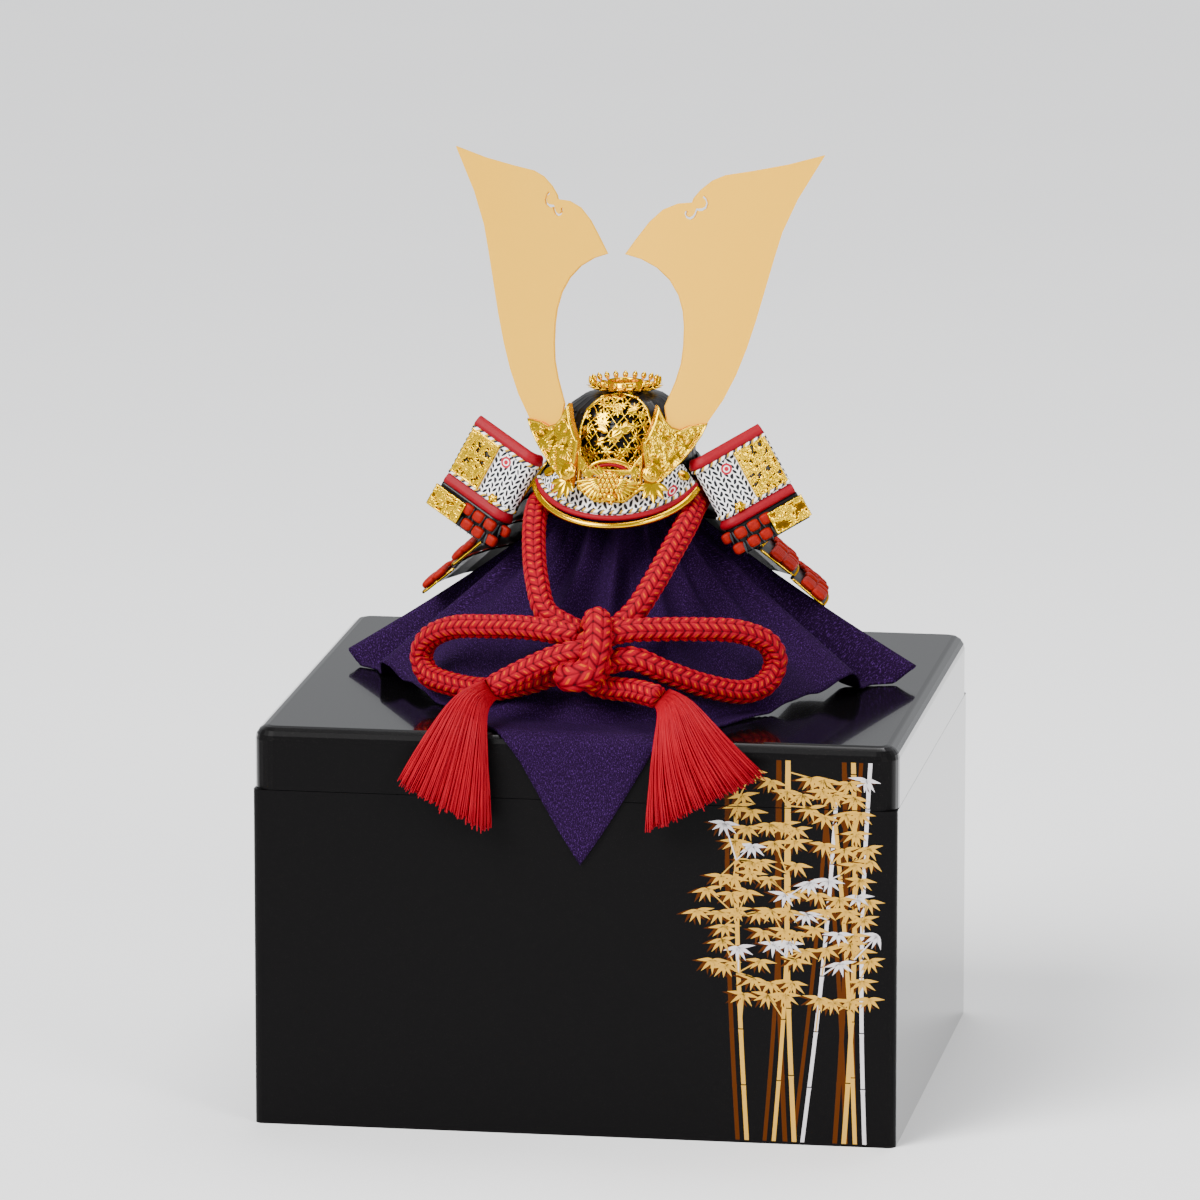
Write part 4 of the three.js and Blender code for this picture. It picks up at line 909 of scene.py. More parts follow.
def on_bowl_front(across, up, lift):
    """A place over the bowl's front; across and up are millimetres in the flat plate."""
    run = up + np.interp(plate_foot * bowl_height, bowl_line[:, 1], bowl_run)
    columns = (*bowl_line.T, *bowl_out.T)
    radius, level, out_r, out_z = (np.interp(run, bowl_run, column) for column in columns)
    radius = radius + out_r * (0.6 + lift)
    bearing = across / np.maximum(radius, 12)
    level = rim_level + level + out_z * (0.6 + lift)
    return np.stack([helmet_x + radius * np.sin(bearing), -radius * np.cos(bearing), level], -1)


def egg_edge(x, y):
    """How far places lie inside the plate's egg-shaped edge."""
    return plate_width / 2 * np.clip(1 - ((y / plate_height - 0.36) / 0.64) ** 2, 0, 1) ** 0.64 - np.abs(x)


def leaf_relief(x, y, leaves):
    """Height from 0 to 1 of pointed leaves given by foot, bearing, length and width."""
    height = np.zeros(x.shape)
    for foot_x, foot_y, bearing, length, width in leaves:
        along = ((x - foot_x) * math.cos(bearing) + (y - foot_y) * math.sin(bearing)) / length
        across = -(x - foot_x) * math.sin(bearing) + (y - foot_y) * math.cos(bearing)
        half = width / 2 * np.sin(np.pi * np.clip(along, 0, 1) ** 0.8) + 1e-6
        swell = np.sqrt(np.clip(1 - (across / half) ** 2, 0, 1)) - 0.3 * np.exp(-((across / 0.16) ** 2))
        height = np.maximum(height, np.where((along > 0) & (along < 1), swell, 0))
    return height


def scattered_leaves(width, tall, spacing, length, leaf, fan=5, seed=1, open_by=1.25):
    """Fans of leaves on a loose grid over a field."""
    pick = np.random.default_rng(seed)
    leaves = []
    for x in np.arange(-width / 2, width / 2 + spacing, spacing):
        for y in np.arange(-tall / 2, tall / 2 + spacing, spacing):
            foot = (x + pick.uniform(-0.4, 0.4) * spacing, y + pick.uniform(-0.4, 0.4) * spacing)
            bearing = pick.uniform(0, 2 * np.pi)
            for turn in np.linspace(-open_by, open_by, fan):
                size = length * pick.uniform(0.8, 1.15) * (1 - 0.15 * abs(turn) / open_by)
                leaves.append((*foot, bearing + turn, size, leaf))
    return leaves


def relief_plate(name, mask, front, back, finish, flat=None):
    """A plate from a grid of corners: cells under the mask, with a front, a back and cut edges."""
    rows, columns = mask.shape
    at = np.arange((rows + 1) * (columns + 1)).reshape(rows + 1, columns + 1)
    quads = np.stack([at[:-1, :-1], at[:-1, 1:], at[1:, 1:], at[1:, :-1]], -1)[mask]
    total = at.size
    faces = [quads, quads[:, ::-1] + total]
    framed = np.pad(mask, 1)
    # each side of a cell: its neighbour's step, then its two corners
    for step, first, second in (
        ((0, 1), (0, 1), (1, 1)),
        ((0, -1), (1, 0), (0, 0)),
        ((1, 0), (1, 1), (1, 0)),
        ((-1, 0), (0, 0), (0, 1)),
    ):
        open_side = mask & ~framed[1 + step[0] : rows + 1 + step[0], 1 + step[1] : columns + 1 + step[1]]
        row, column = np.nonzero(open_side)
        a, b = at[row + first[0], column + first[1]], at[row + second[0], column + second[1]]
        faces.append(np.stack([b, a, a + total, b + total], -1))
    faces = np.concatenate(faces)
    points = np.concatenate([front.reshape(-1, 3), back.reshape(-1, 3)])
    used, index = np.unique(faces, return_inverse=True)
    if flat is not None:
        flat = np.concatenate([np.reshape(flat, (-1, 2))] * 2)[used]
    made = build(name, points[used], index.reshape(faces.shape), finish, flat)
    made.data.polygons.foreach_set("use_smooth", np.arange(len(faces)) < len(quads))
    return made


def cell_grid(low_x, high_x, low_y, high_y, pitch):
    """Corner places of a grid and the middles of its cells."""
    x, y = np.meshgrid(np.arange(low_x, high_x + pitch, pitch), np.arange(low_y, high_y + pitch, pitch))
    return x, y, (x[:-1, :-1] + x[1:, 1:]) / 2, (y[:-1, :-1] + y[1:, 1:]) / 2


# foot, bearing, length and width of the leaf shapes that make up the bird
bird_on_plate = [
    (-1.5, 18.5, 0.5, 8.5, 6.5), (-3.5, 20.5, 2.6, 7.5, 4.5), (3, 21.5, 0.2, 7.5, 4.8),
    (4.5, 23, 1.1, 5, 3.6), (-5, 18, 3.6, 6, 2.6), (-6.5, 21.5, 3.1, 4.5, 2.2),
]
plate_leaves = scattered_leaves(46, 52, 6.4, 4.4, 1.15, 8, 4, 3.0)
plate_leaves = [(x, y + 24, *rest) for x, y, *rest in plate_leaves]


def plate_relief(x, y):
    """Height from 0 up of the plate's leaves, crossed stems, bird, ring and border."""
    border = np.clip(1 - np.abs(egg_edge(x, y) - 0.8) / 1.0, 0, 1)
    ring = np.clip(1 - np.abs(np.hypot(x + 1, y - 8.2) - 2.2) / 0.9, 0, 1)
    leaves = leaf_relief(x, y, plate_leaves)
    lines = (x + 0.7 * y) / 7.2, (x - 0.8 * y) / 7.6
    stems = [np.clip(1.2 - np.abs(line % 1 - 0.5) * 14, 0, 1) * 0.5 for line in lines]
    bird = leaf_relief(x, y, bird_on_plate) * 1.2
    return np.maximum.reduce([leaves * 0.85, *stems, bird, border, ring])


across, up, cell_across, cell_up = cell_grid(-21, 21, 0, plate_height, 0.25)
kept = (plate_relief(cell_across, cell_up) > 0.1) & (egg_edge(cell_across, cell_up) > 0)
lift = plate_relief(across, up)
front, back = on_bowl_front(across, up, plate_wall + lift), on_bowl_front(across, up, 0.1)
openwork = relief_plate("front_openwork", kept, front, back, chased_gilt_painted_shade, crest_flat(lift))
add(openwork, "bright_gilt", "front_plate")

# Visor: a leather-faced peak with a black leaf pattern and small red flowers, a twisted cord, a red
# band and a round gilt rim along its lip.
visor_root, visor_root_level = 38 + 0.7 * 1.8 + 0.3, rim_level + 10


def lip_place(share):
    """Places along the visor's lip, from its left end at 0 to its right end at 1."""
    turn = (2 * share - 1) * math.radians(75)
    level = 311.7 + 19 * (1 - np.cos(turn))
    return np.stack([helmet_x + 44.5 * np.sin(turn), -18 - 44 * np.cos(turn), level], -1)


def visor_place(share, outward, lift=0.0):
    """Places on the visor, from its root at 0 outwards to its lip at 1."""
    turn = (2 * share - 1) * math.radians(60)
    level = np.full(np.shape(turn), visor_root_level)
    root = np.stack([helmet_x + visor_root * np.sin(turn), -visor_root * np.cos(turn), level], -1)
    lip = lip_place(share)
    outward = np.asarray(outward)[..., None]
    return root + (lip - root) * outward + (0, 0, 1) * np.asarray(lift)[..., None]


leaf_column, leaf_step = 2.4, 3.3


def leather_finish(name, flowers):
    """White leather with slanting black leaf marks; flowers are red ones, by place in millimetres."""
    made, _, flat = material(name)
    u, v = flat.part(0) * 1000, flat.part(1) * 1000
    drift = flat.noise(300.0, 1.0)
    column = u / leaf_column + drift * 0.5
    lane = column.maths("FLOOR", column)
    sideways = (column - lane - 0.5) * leaf_column
    hand = 1 - 2 * lane.maths("MODULO", lane.maths("ABSOLUTE", lane), 2.0)
    step = v / leaf_step + lane * 0.43 + drift * 0.6
    along = (step - step.maths("ROUND", step)) * leaf_step
    narrow = (sideways * 0.88 + hand * along * 0.47) / 0.74
    tall = (along * 0.88 - hand * sideways * 0.47) / 1.65
    mark = 1 - (narrow * narrow + tall * tall).rise(0.75, 1.1)
    flower, ring = None, None
    for x, y in flowers:
        away = ((u - x) * (u - x) + (v - y) * (v - y)) ** 0.5
        disc = 1 - away.rise(2.9, 3.1)
        line = abs(away - 1.55).rise(0.25, 0.4)
        flower = disc if flower is None else flower + disc
        ring = line * disc if ring is None else ring + line * disc
    white = flat.noise(260.0).mix((0.86, 0.85, 0.87, 1), (0.97, 0.96, 0.97, 1))
    marked = (mark * (1 - flower)).mix(white, (0.005, 0.005, 0.008, 1))
    return finish_material(
        made,
        Base_Color=ring.rise(0.25, 0.5).mix(marked, (0.42, 0.0, 0.02, 1)),
        Roughness=0.55,
        Specular_IOR_Level=0.15,
        height=flat.noise(1300.0, 2.0) * 0.0001,
    )


def red_finish(name, dark, light, roughness):
    """Red leather or silk of slightly uneven colour."""
    made, spot, _ = material(name)
    return finish_material(
        made,
        Base_Color=spot.noise(800.0, 2.0).mix(dark, light),
        Roughness=roughness,
        Specular_IOR_Level=0.12,
        height=spot.noise(2400.0) * 0.0001,
    )


red_band = red_finish("red_leather_band", (0.18, 0.0, 0.007, 1), (0.25, 0.001, 0.009, 1), 0.45)
visor_leather = leather_finish("visor_leather", ((-31, 15.5), (31, 15.5)))
share, outward = np.meshgrid(np.linspace(0, 1, 121), np.linspace(0, 0.88, 24))
flat = np.stack([(share - 0.5) * 100 * (0.75 + 0.25 * outward), outward * 24], -1) * MM
top, low = visor_place(share, outward, 0.06), visor_place(share, outward, -1.7)
everywhere = np.ones(np.array(share.shape) - 1, bool)
add(relief_plate("visor_leather_face", everywhere, top, low, visor_leather, flat), "leather", "visor")
twist_length = 5.0


def round_bead(name, line, diameter, finish, around=16, ripple=None):
    """A closed-ended round bead along a line of places."""
    line = np.asarray(line, float)
    run = np.concatenate([[0], np.cumsum(np.linalg.norm(np.diff(line, axis=0), axis=1))])
    turn = np.linspace(0, 1, around + 1)
    radius = np.full((len(line), around + 1), diameter / 2)
    if ripple:
        radius = radius * ripple(run[:, None], turn[None])
    radius[0] = radius[-1] = 0.01
    return tube(name, line, radius, (0.1, 0.2, 1.0), finish, run, turn, (1, 1))


twist, _, twist_flat = material("twisted_edge_cord")
strand = twist_flat.part(0) / twist_length + twist_flat.part(1)
which = strand - strand.maths("FLOOR", strand)
pale = which.rise(0.22, 0.28).mix((0.5, 0.28, 0.0, 1), (0.9, 0.9, 0.88, 1))
finish_material(
    twist,
    Base_Color=which.rise(0.66, 0.72).mix(pale, (0.012, 0.014, 0.03, 1)),
    Roughness=0.6,
    Specular_IOR_Level=0.25,
)


def twist_ripple(run, turn):
    """Three strands laid round each other."""
    return 0.86 + 0.14 * np.abs(np.cos(3 * np.pi * (run / twist_length + turn)))


lip_share = np.linspace(0, 1, 160)
edge_line, band_line = visor_place(lip_share, 0.872, 1.0), visor_place(lip_share, 0.955, 0.15)
add(round_bead("visor_edge_cord", edge_line, 2.3, twist, 12, twist_ripple), "red_silk")
add(round_bead("visor_red_band", band_line, 3.0, red_band, 14), "red_silk")
rim_line = visor_place(lip_share, 1.085, -0.6)
add(round_bead("visor_gilt_rim", rim_line, 3.5, bright_gilt, 18), "bright_gilt", "visor_rim")

for hand in ("left", "right"):
    coat(f"visor_scroll_{hand}", bright_gilt)

# Horn holder: two cast wings and a middle plate in front of the horns' feet, with raised leaves and a
# raised border, a sparrow with spread wings, leaf sprays and rosettes.
lean = math.radians(-12.5)
sweep = math.radians(36.5)
wing_depth, middle_depth = 2.6, 1.7


def turned_frame(origin, sweep, tilt, lean):
    """Takes places in a tilted frame on the helmet to the object's own frame."""
    origin = np.array(origin, float) + (helmet_x, 0, 0)
    turns = Matrix.Rotation(sweep, 3, "Z") @ Matrix.Rotation(tilt, 3, "Y") @ Matrix.Rotation(lean, 3, "X")
    turns = np.array(turns)

    def carry(points):
        return np.asarray(points, float) @ turns.T + origin

    return carry


horn_frames = {side: turned_frame((side * 35.7, -30, 365), side * sweep, 0, lean) for side in (-1, 1)}
middle_frame = turned_frame((0, -30 - 18.2 * math.tan(sweep) - 0.9, 365), 0, 0, lean)
wing_outline = [
    (-15.9, 5), (-19.5, -4), (-23.7, -10.5), (-27, -14), (-27, -39), (-20.6, -36.6), (-15.6, -33.4),
    (-10, -29.6), (-3.3, -24.6), (3, -19), (8.3, -13.4), (12.8, -6.9), (2, -7.4), (-4.2, -9.1), (-9.5, -7),
    (-12.5, -3.4),
]
middle_outline = [
    (-17.5, -19), (-13, -24.5), (-10.8, -28.4), (10.8, -28.4), (13, -24.5), (17.5, -19), (17.5, -39),
    (8, -46.2), (-8, -46.2), (-17.5, -39),
]


def inside(x, y, outline):
    """Whether places lie inside a closed outline."""
    hit = np.zeros(x.shape, bool)
    for (ax, ay), (bx, by) in zip(outline, outline[1:] + outline[:1]):
        crosses = (ay > y) != (by > y)
        hit ^= crosses & (x < (bx - ax) * (y - ay) / (by - ay + 1e-12) + ax)
    return hit


def edge_distance(x, y, outline):
    """Distance from places to the nearest side of an outline."""
    best = np.full(x.shape, 1e9)
    for (ax, ay), (bx, by) in zip(outline, outline[1:] + outline[:1]):
        run = np.array([bx - ax, by - ay])
        share = np.clip(((x - ax) * run[0] + (y - ay) * run[1]) / (run @ run), 0, 1)
        best = np.minimum(best, np.hypot(x - ax - share * run[0], y - ay - share * run[1]))
    return best


def chased_face(name, outline, carry, depth, hand, seed, pierced=False):
    """Raised leaves and a raised border on the front of a plate with this outline."""
    xs, ys = zip(*outline)
    x, y, cell_x, cell_y = cell_grid(min(xs), max(xs), min(ys), max(ys), 0.33)
    leaves = scattered_leaves(60, 70, 5.6, 6.4, 2.0, 6, seed)
    leaves = [(a - 7, b - 20, *rest) for a, b, *rest in leaves]
    inner = edge_distance(x, y, outline)
    border = np.clip(1.4 - np.abs(inner - 0.9) / 0.8, 0, 1)
    crest = np.maximum(leaf_relief(x, y, leaves), border)
    raised = crest * 1.3 * np.clip(inner / 0.5, 0, 1)
    front = carry(np.stack([x * hand, -depth - 0.05 - raised, y], -1))
    back = carry(np.stack([x * hand, np.full(x.shape, 0.1), y], -1))
    kept = inside(cell_x, cell_y, outline) & ((crest[:-1, :-1] > 0.04) | (not pierced))
    return relief_plate(name, kept, front, back, chased_gilt_painted_shade, crest_flat(crest * 0.6 + 0.25))


for side, hand in ((-1, "left"), (1, "right")):
    name = f"holder_wing_{hand}_relief"
    add(chased_face(name, wing_outline, horn_frames[side], wing_depth, side, 5 + side), "bright_gilt")
holder_middle = chased_face("holder_middle_relief", middle_outline, middle_frame, middle_depth, 1, 9, True)
add(holder_middle, "bright_gilt", "horn_base")


feathers = []
bird_level, bird_out = -37.5, 2.6
face = middle_frame((0, -1, 0)) - middle_frame((0, 0, 0))


def feather(foot, bearing, reach, width, low, high, thick=1.5):
    """A feather on the holder's middle plate, from its foot's place, its bearing and its two heights."""
    turn = math.radians(bearing)
    x, y = foot[0], bird_level + foot[1]
    foot = middle_frame((x, -middle_depth - low, y))
    tip = middle_frame((x + reach * math.cos(turn), -middle_depth - high, y + reach * math.sin(turn)))
    feathers.append((foot, tip, face, width, thick))


for side in (-1, 1):
    for index in range(7):
        share = index / 6
        bearing = -4 - 66 * share if side > 0 else 184 + 66 * share
        foot = (side * (4 - 1.2 * share), 2.6 - 1.5 * share)
        feather(foot, bearing, 13.5 - 3.5 * share, 3.1, bird_out, bird_out + 1.6)
        foot = (side * 3.4, 3.0 - 1.6 * share)
        feather(foot, bearing, 7.6 - 1.6 * share, 2.8, bird_out + 1.4, bird_out + 2.6)
for index in range(3):
    feather((-2 + index * 0.8, 3.6), 146 - index * 9, 9.5, 2.8, bird_out + 1.2, bird_out + 2.2)
for row in range(5):
    for index in range(4 + row % 2):
        across = (index - 1.5 - 0.5 * (row % 2)) * 2.1
        bulge = bird_out + 5.0 - 0.10 * across**2 - 0.06 * (row - 2) ** 2 * 4
        feather((across, 6.6 - 2.5 * row), -90 + across * 3, 3.4, 2.5, bulge, bulge + 0.1, 1.6)
body_profile = [(0, 7.2), (2.2, 6.7), (3.6, 5.5), (4.6, 3.6), (4.9, 1.6), (4.4, -0.5), (3.2, -1.5), (0, -2)]


def bird_body(points):
    """Takes a turned body to the middle of the holder, flattened and drawn out."""
    points = np.asarray(points, float) * (1, 0.6, 1.35)
    return middle_frame(points + (0, -middle_depth - bird_out, bird_level + 1))


def bird_head(points):
    """Takes a turned head to the body's lower end, turned a little aside."""
    points = np.asarray(points, float) * 0.62 * (1, 0.8, 1)
    return middle_frame(points + (1.8, -7.2, bird_level - 6.4))


add(blades("sparrow_feathers", feathers, chased_gilt_painted_shade, 9, 8), "bright_gilt", "sparrow_ornament")
beak_foot = middle_frame((2.2, -middle_depth - 8.0, bird_level - 7.4))
beak_tip = middle_frame((3.2, -middle_depth - 8.8, bird_level - 10.8))
add(blades("sparrow_beak", [(beak_foot, beak_tip, (1, 0, 0), 1.6, 1.6)], bright_gilt), "bright_gilt")
add(turned_piece("sparrow_body", body_profile, bright_gilt, bird_body, 24), "bright_gilt")
add(turned_piece("sparrow_head", body_profile, bright_gilt, bird_head, 20), "bright_gilt")

rosette_profile = [
    (0, 3.3), (1.0, 3.2), (1.5, 2.5), (1.9, 2.2), (2.4, 2.7), (2.9, 2.2), (3.3, 1.8), (3.9, 2.1), (4.5, 1.5),
    (5.0, 0.9), (5.1, 0), (0, 0),
]
# bearing, length, width and how far the tip stands out of each leaf
spray_leaves = [
    (196, 9.0, 4.2, 3.6),
    (229, 10.5, 4.6, 4.4),
    (262, 11.5, 4.8, 5.0),
    (295, 10.5, 4.6, 4.6),
    (328, 9.0, 4.2, 4.0),
]
for side, hand in ((-1, "left"), (1, "right")):
    carry = horn_frames[side]
    face = carry((0, -1, 0)) - carry((0, 0, 0))
    spray = []
    for bearing, reach, width, out in spray_leaves:
        turn = math.radians(bearing)
        x, y = -side * 25.0 + 0.8 * math.cos(turn), -36.0
        foot = carry((x, -wing_depth - 2.2, y))
        tip = carry((x + reach * math.cos(turn), -wing_depth - out, y + reach * math.sin(turn) * 0.95))
        spray.append((foot, tip, face, width, 1.5))
    leaves = blades(f"leaf_spray_{hand}", spray, chased_gilt_painted_shade, 10, 8, 0.95)
    add(leaves, "bright_gilt", f"bamboo_leaves_{hand}")

    def on_wing(points, side=side, carry=carry):
        return carry(np.asarray(points, float) + (-side * 25.0, -3.6, -31))

    knob = turned_piece(f"rosette_{hand}_turned", rosette_profile, bright_gilt, on_wing, 36)
    add(knob, "bright_gilt", f"rosette_{hand}")
arch_turn = np.linspace(0, np.pi, 40)
arch_x, arch_level = helmet_x + 10.8 * np.cos(arch_turn), 337 + 4.6 * np.sin(arch_turn)
arch_line = np.stack([arch_x, np.full(40, -51.2), arch_level], -1)
add(round_bead("front_arch_rim", arch_line, 2.4, bright_gilt), "bright_gilt", "front_arch")
under_line = arch_line * (0.82, 1, 1) + (0.7, 0.4, -1.9)
add(round_bead("front_arch_band", under_line, 2.2, red_band), "red_silk")

# Ear plates: leather-faced ends of the top lame, folded forward and swept back, edged with rolled red
# bands and twisted cord, with a pierced gilt panel and a stud; below, laced tufts and a small plate.
ear_width, ear_height, ear_wall, ear_fold = 42.0, 41.5, 1.8, 7.0
ear_leather = leather_finish("ear_leather", ((19.0, 12.5),))
tuft_finish = red_finish("red_lacing", (0.15, 0.0, 0.0, 1), (0.33, 0.008, 0.0, 1), 0.5)
# Black lace for the laces, also used for the dark sheet of painted shade under each ear panel.
lace_and_shade_sheet, spot, _ = material("black_lace_and_shade_sheet")
lace_tone = spot.noise(900.0).mix((0.006, 0.008, 0.012, 1), (0.03, 0.035, 0.04, 1))
finish_material(lace_and_shade_sheet, Base_Color=lace_tone, Roughness=0.5)
strip_length = (ear_width - ear_fold) + ear_fold * math.pi / 2


def on_strip(run, level, out=0.0):
    """A place on the folded strip, from its folded end: along it, up it and out of its face."""
    run, level, out = np.broadcast_arrays(np.asarray(run, float), level, out)
    fold = ear_fold * math.pi / 2
    turn = np.clip(run / ear_fold, 0, math.pi / 2)
    corner = ear_width / 2 - ear_fold
    x = np.where(run < fold, -corner - (ear_fold + out) * np.cos(turn), -corner + (run - fold))
    y = np.where(run < fold, ear_fold - (ear_fold + out) * np.sin(turn), -out)
    return np.stack([x, y, level], -1)


def softened(value):
    return np.sign(value) * np.abs(value) ** 0.6


def pillows(name, rows, finish, across=14, around=10, carry=None):
    """Rounded tufts of thread: each row gives middle, half width, half height and half thickness."""
    points, faces = [], []
    a = np.linspace(-np.pi / 2, np.pi / 2, across)[:, None, None]
    b = np.linspace(0, 2 * np.pi, around + 1)[None, :, None]
    ball_wide = softened(np.cos(a)) * softened(np.cos(b))
    ball_thick = softened(np.cos(a)) * softened(np.sin(b))
    for middle, wide, tall, thick in rows:
        start = len(points) * a.size * b.size
        ball = ball_wide * wide + ball_thick * thick + softened(np.sin(a)) * tall
        points.append((middle + ball).reshape(-1, 3))
        faces.append(grid_faces(across, around + 1, start))
    points = np.concatenate(points)
    return build(name, carry(points) if carry else points, np.concatenate(faces), finish)


def flattened(run, turn):
    """The section of a band that is rolled over an edge."""
    return 1 - 0.42 * np.sin(2 * np.pi * turn) ** 2 + 0 * run


def six_petals(turn):
    return 0.12 * np.cos(6 * turn)


def chased_panel(name, half_size, pitch, leaves, middle, levels, least, carry):
    """A small panel with raised leaves and border; levels are its back, its ground and its relief."""
    half_x, half_y = half_size
    x, y, cell_x, cell_y = cell_grid(-half_x, half_x, -half_y, half_y, pitch)

    def raised(a, b):
        edge = np.minimum(half_x - np.abs(a), half_y - np.abs(b))
        return np.maximum(leaf_relief(a, b, leaves), np.clip(1 - np.abs(edge - 0.5) / 0.7, 0, 1))

    height = raised(x, y)
    back_y, ground_y, relief = levels
    front = np.stack([x + middle[0], ground_y - relief * height, y + middle[1]], -1)
    behind = np.stack([x + middle[0], np.full(x.shape, back_y), y + middle[1]], -1)
    kept = raised(cell_x, cell_y) > least
    return relief_plate(name, kept, carry(front), carry(behind), chased_gilt_painted_shade, crest_flat(height)), front


half = ear_height / 2
stud_profile = [(0, 2.4), (0.9, 2.3), (1.3, 1.6), (1.8, 1.5), (2.4, 1.1), (2.8, 0.4), (2.8, 0), (0, 0)]
low_top = -half - 1.0
tuft_pitch = 7.6
tuft_halves = np.array([(3.5, 0, 0), (0, 0, 2.9), (0, -2.1, 0)])
for side, hand in ((-1, "left"), (1, "right")):
    turns = (side * math.radians(23.7), -side * math.radians(27), math.radians(-8.6))
    carry = turned_frame((side * 67.8, -28.5, 330.8), *turns)

    def handed(points, side=side, carry=carry):
        return carry(np.asarray(points, float) * (side, 1, 1))

    run, level = np.meshgrid(np.linspace(0, strip_length, 91), np.linspace(-half + 5.5, half - 4.2, 40))
    face, back = handed(on_strip(run, level, 0.05)), handed(on_strip(run, level, -ear_wall))
    flat = np.stack([run, half - level], -1) * MM
    everywhere = np.ones(np.array(run.shape) - 1, bool)
    shell = relief_plate(f"ear_leather_{hand}", everywhere, face, back, ear_leather, flat)
    add(shell, "leather", f"ear_plate_{hand}")
    along = np.linspace(0, strip_length, 90)
    for label, level, thick in (("top", half - 2.9, 6.4), ("low", -half + 3.2, 7.0)):
        line = handed(on_strip(along, level, -0.9))
        add(round_bead(f"ear_band_{label}_{hand}", line, thick, red_band, 20, flattened), "red_silk")
    for label, level in (("top", half - 6.5), ("low", -half + 7.1)):
        line = handed(on_strip(along, level, 0.6))
        add(round_bead(f"ear_cord_{label}_{hand}", line, 2.2, twist, 10, twist_ripple), "red_silk")
    leaves = scattered_leaves(22, 34, 2.6, 4.2, 1.1, 6, 20 + side)
    name, middle, levels = f"ear_openwork_{hand}", (ear_width / 2 - 10.5, 0.4), (-0.15, -0.4, 1.5)
    panel, front = chased_panel(name, (9.5, 13.4), 0.25, leaves, middle, levels, 0.02, handed)
    add(panel, "bright_gilt", f"ear_gold_{hand}")
    # Painted shade: a dark sheet under the pierced panel stands for the shade in its gaps, in place of the
    # white leather.
    coarse = front[::4, ::4] * (1, 0, 1)
    everywhere = np.ones(np.array(coarse.shape[:2]) - 1, bool)
    face, back = handed(coarse + (0, -0.12, 0)), handed(coarse + (0, 0.2, 0))
    add(relief_plate(f"ear_shade_backing_{hand}", everywhere, face, back, lace_and_shade_sheet), "black_iron")

    def on_ear(points, handed=handed):
        return handed(np.asarray(points, float) + (-9.5, -0.3, 8.0 - half))

    stud = turned_piece(f"ear_stud_{hand}_turned", stud_profile, bright_gilt, on_ear, 36, six_petals)
    add(stud, "bright_gilt", f"ear_stud_{hand}")
    tufts, laces = [], []
    for row, level in enumerate((low_top - 3.2, low_top - 10.4)):
        for index in range(4 - row):
            at = 2.0 + (index + 0.5 * row) * tuft_pitch
            tufts.append((on_strip(at, level, 1.4), *tuft_halves))
            for offset in (-1.5, 1.5):
                foot = on_strip(at + 3.6 + offset * 0.4, level + 2.4, 1.6)
                laces.append((foot, on_strip(at + 3.6 + offset, level - 4.6, 1.8), (0, -1, 0), 1.5, 1.3))
    tuft_mesh = pillows(f"lower_ear_tufts_{hand}", tufts, tuft_finish, carry=handed)
    add(tuft_mesh, "red_silk", f"lower_ear_{hand}")
    add(blades(f"lower_ear_laces_{hand}", laces, lace_and_shade_sheet, 6, 6, carry=handed), "red_silk")
    run, level = np.meshgrid(np.linspace(0, strip_length, 40), np.linspace(low_top - 14.5, low_top + 1, 12))
    everywhere = np.ones(np.array(run.shape) - 1, bool)
    face, back = handed(on_strip(run, level, 0.2)), handed(on_strip(run, level, -1.2))
    add(relief_plate(f"lower_ear_lame_{hand}", everywhere, face, back, iron), "black_iron")
    leaves = scattered_leaves(24, 16, 3.4, 4.6, 1.3, 6, 30 + side)
    name, levels = f"lower_ear_openwork_{hand}", (-2.8, -3.2, 1.4)
    middle = (ear_width / 2 - 9.5, low_top - 7.2)
    plate, _ = chased_panel(name, (10.5, 6), 0.3, leaves, middle, levels, -1, handed)
    add(plate, "bright_gilt", f"lower_ear_gold_{hand}")

# Neck guard: four black lames with gilt lower edges, laced together with rows of red silk tufts.
# radius and level of each lame's lower edge, and how far its ends reach forward above and below
neck_rows = [
    (58.02, 307.98, 17.05, 27.5),
    (76.01, 290.03, 22, 14.03),
    (91.97, 273.48, 14.03, 7.98),
    (108, 258, 7.98, 7.98),
]
lame_wall, lame_gap, lame_tuck = 1.2, 0.6, 1.2
straight_share = 0.14


def guard_place(share, radius, level, reach):
    """Places round the neck, from the left end at 0 to the right end at 1, with straight ends."""
    share = np.asarray(share, float)
    from_straight = np.maximum(straight_share - share, share - 1 + straight_share)
    in_straight = np.maximum(from_straight, 0) / straight_share
    turn = np.clip((share - straight_share) / (1 - 2 * straight_share), 0, 1) * np.pi
    forward_by = reach * in_straight
    radius = radius - 2 * (forward_by / 24) ** 2
    level = np.broadcast_to(level, radius.shape)
    return np.stack([helmet_x - radius * np.cos(turn), radius * np.sin(turn) - forward_by, level], -1)


def lame_surface(start, end, reach):
    """Gives a function for places on one lame, from its upper edge to its lower one."""
    run = math.hypot(end[0] - start[0], end[1] - start[1])
    out_r, out_z = (end[0] - start[0]) / run, (end[1] - start[1]) / run

    def on_lame(share, down, lift):
        radius = start[0] + out_r * run * down - out_z * lift
        level = start[1] + out_z * run * down + out_r * lift
        return guard_place(share, radius, level, reach[0] + (reach[1] - reach[0]) * down)

    return on_lame, run, out_r, out_z


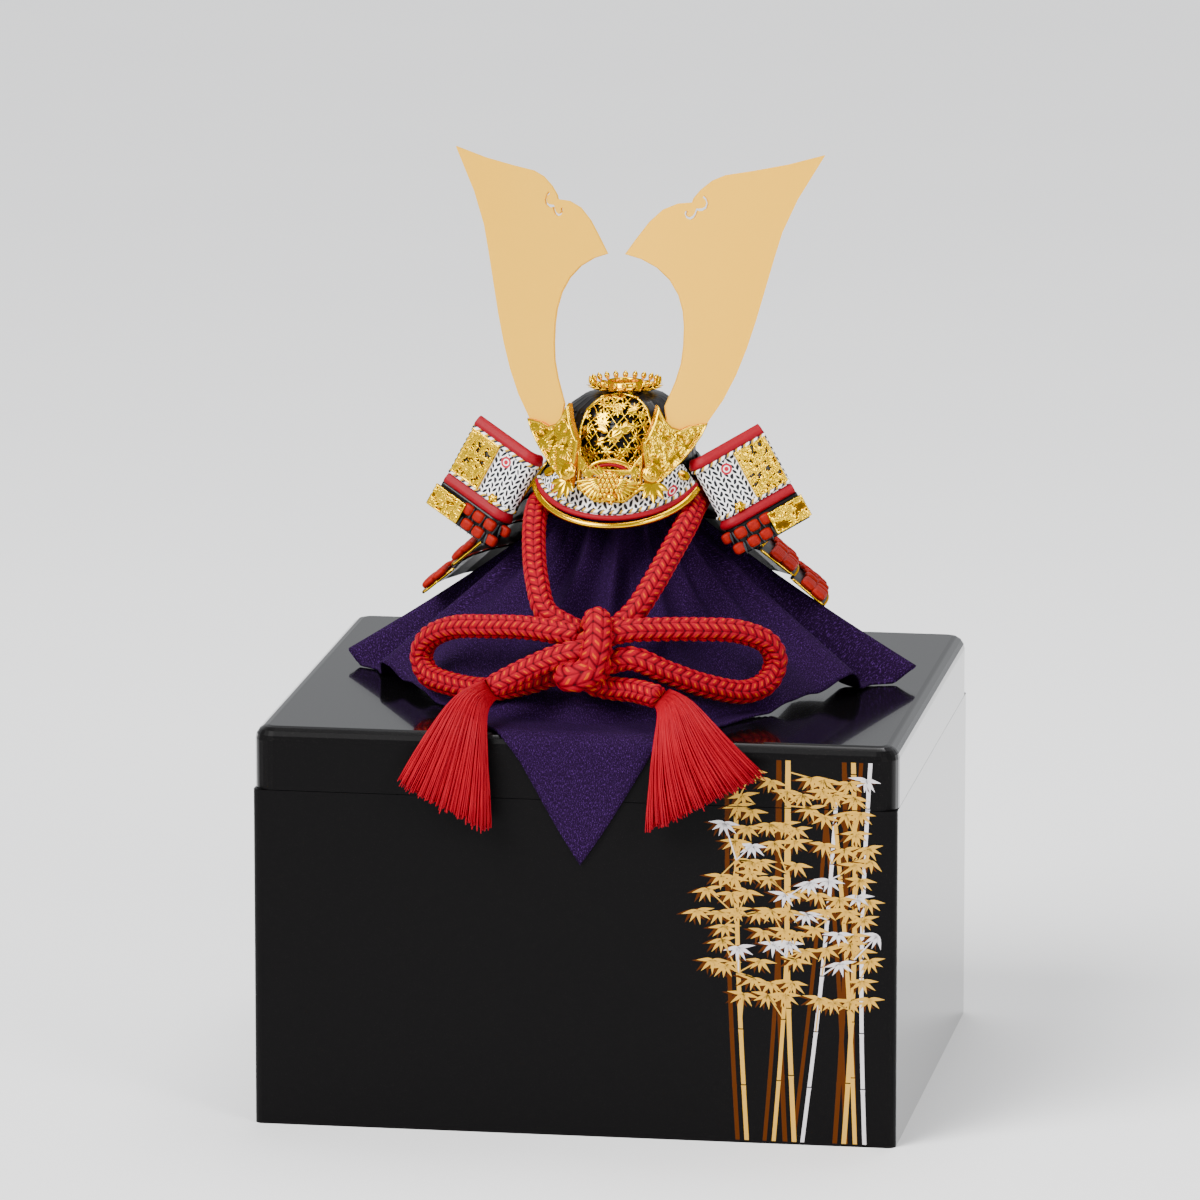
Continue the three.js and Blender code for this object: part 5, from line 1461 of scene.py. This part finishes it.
upper_radius, upper_level = bowl_radius + 0.6, rim_level + 10
for number, (radius, level, front_reach, low_reach) in enumerate(neck_rows, 1):
    start = (upper_radius, upper_level)
    on_lame, run, out_r, out_z = lame_surface(start, (radius, level), (front_reach, low_reach))
    coat(f"neck_lame_{number}", iron)
    low_edge = on_lame(np.linspace(0.004, 0.996, 200), 0.985, lame_wall * 0.6)
    ends = [on_lame(np.full(20, at), np.linspace(0.05, 0.98, 20), lame_wall * 0.5) for at in (0.001, 0.999)]
    for label, line in (("low", low_edge), ("left", ends[0]), ("right", ends[1])):
        add(round_bead(f"lame_edge_{label}_{number}", line, 1.5, bright_gilt, 10), "bright_gilt")
    tufts, laces = [], []
    length = 2 * (math.pi / 2 * (upper_radius + radius) / 2 + low_reach)
    count = int(length / 8.2)
    rows_down = ((0.62, 0),) if number == 1 else ((0.42, 0), (0.74, 1))
    tall = run * (0.16 if number == 1 else 0.15)
    for down, shift in rows_down:
        for step in range(count):
            share = (step + 0.5 + 0.5 * shift) / count
            if share > 0.985:
                continue
            middle = on_lame(share, down, lame_wall + 1.9)
            ahead = on_lame(share + 0.004, down, lame_wall + 1.9) - middle
            below = on_lame(share, down + 0.05, lame_wall + 1.9) - middle
            ahead /= np.linalg.norm(ahead)
            below /= np.linalg.norm(below)
            out = np.cross(ahead, below)
            tufts.append((middle, ahead * 3.5, below * tall * 1.15, out * 1.9))
            between = on_lame(share + 0.5 / count, down - 0.16, lame_wall + 1.0)
            lower = on_lame(share + 0.5 / count, down + 0.2, lame_wall + 1.2)
            laces.append((between, lower, out, 1.6, 1.2))
    add(pillows(f"lame_tufts_{number}", tufts, tuft_finish, 10, 8), "red_silk", f"lacing_row_{number}")
    add(blades(f"lame_laces_{number}", laces, lace_and_shade_sheet, 6, 6), "red_silk")
    upper_radius = radius + out_z * (lame_wall + lame_gap) - out_r * lame_tuck
    upper_level = level - out_r * (lame_wall + lame_gap) - out_z * lame_tuck

# Horns: thin satin-gilt plates with a curling slot, standing behind the holder's wings.
satin, spot, _ = material("satin_pale_gilt")
brushed = spot.scaled(1, 1, 0.15).noise(900.0, 2.0)
finish_material(
    satin,
    Base_Color=spot.noise(12.0).mix((1.0, 0.50, 0.015, 1), (1.0, 0.54, 0.03, 1)),
    Roughness=0.4 + brushed * 0.08,
    Metallic=0.45,
    Specular_IOR_Level=0.05,
    Specular_Tint=(1.0, 0.8, 0.4, 1),
)
for hand in ("left", "right"):
    coat(f"horn_{hand}", satin)
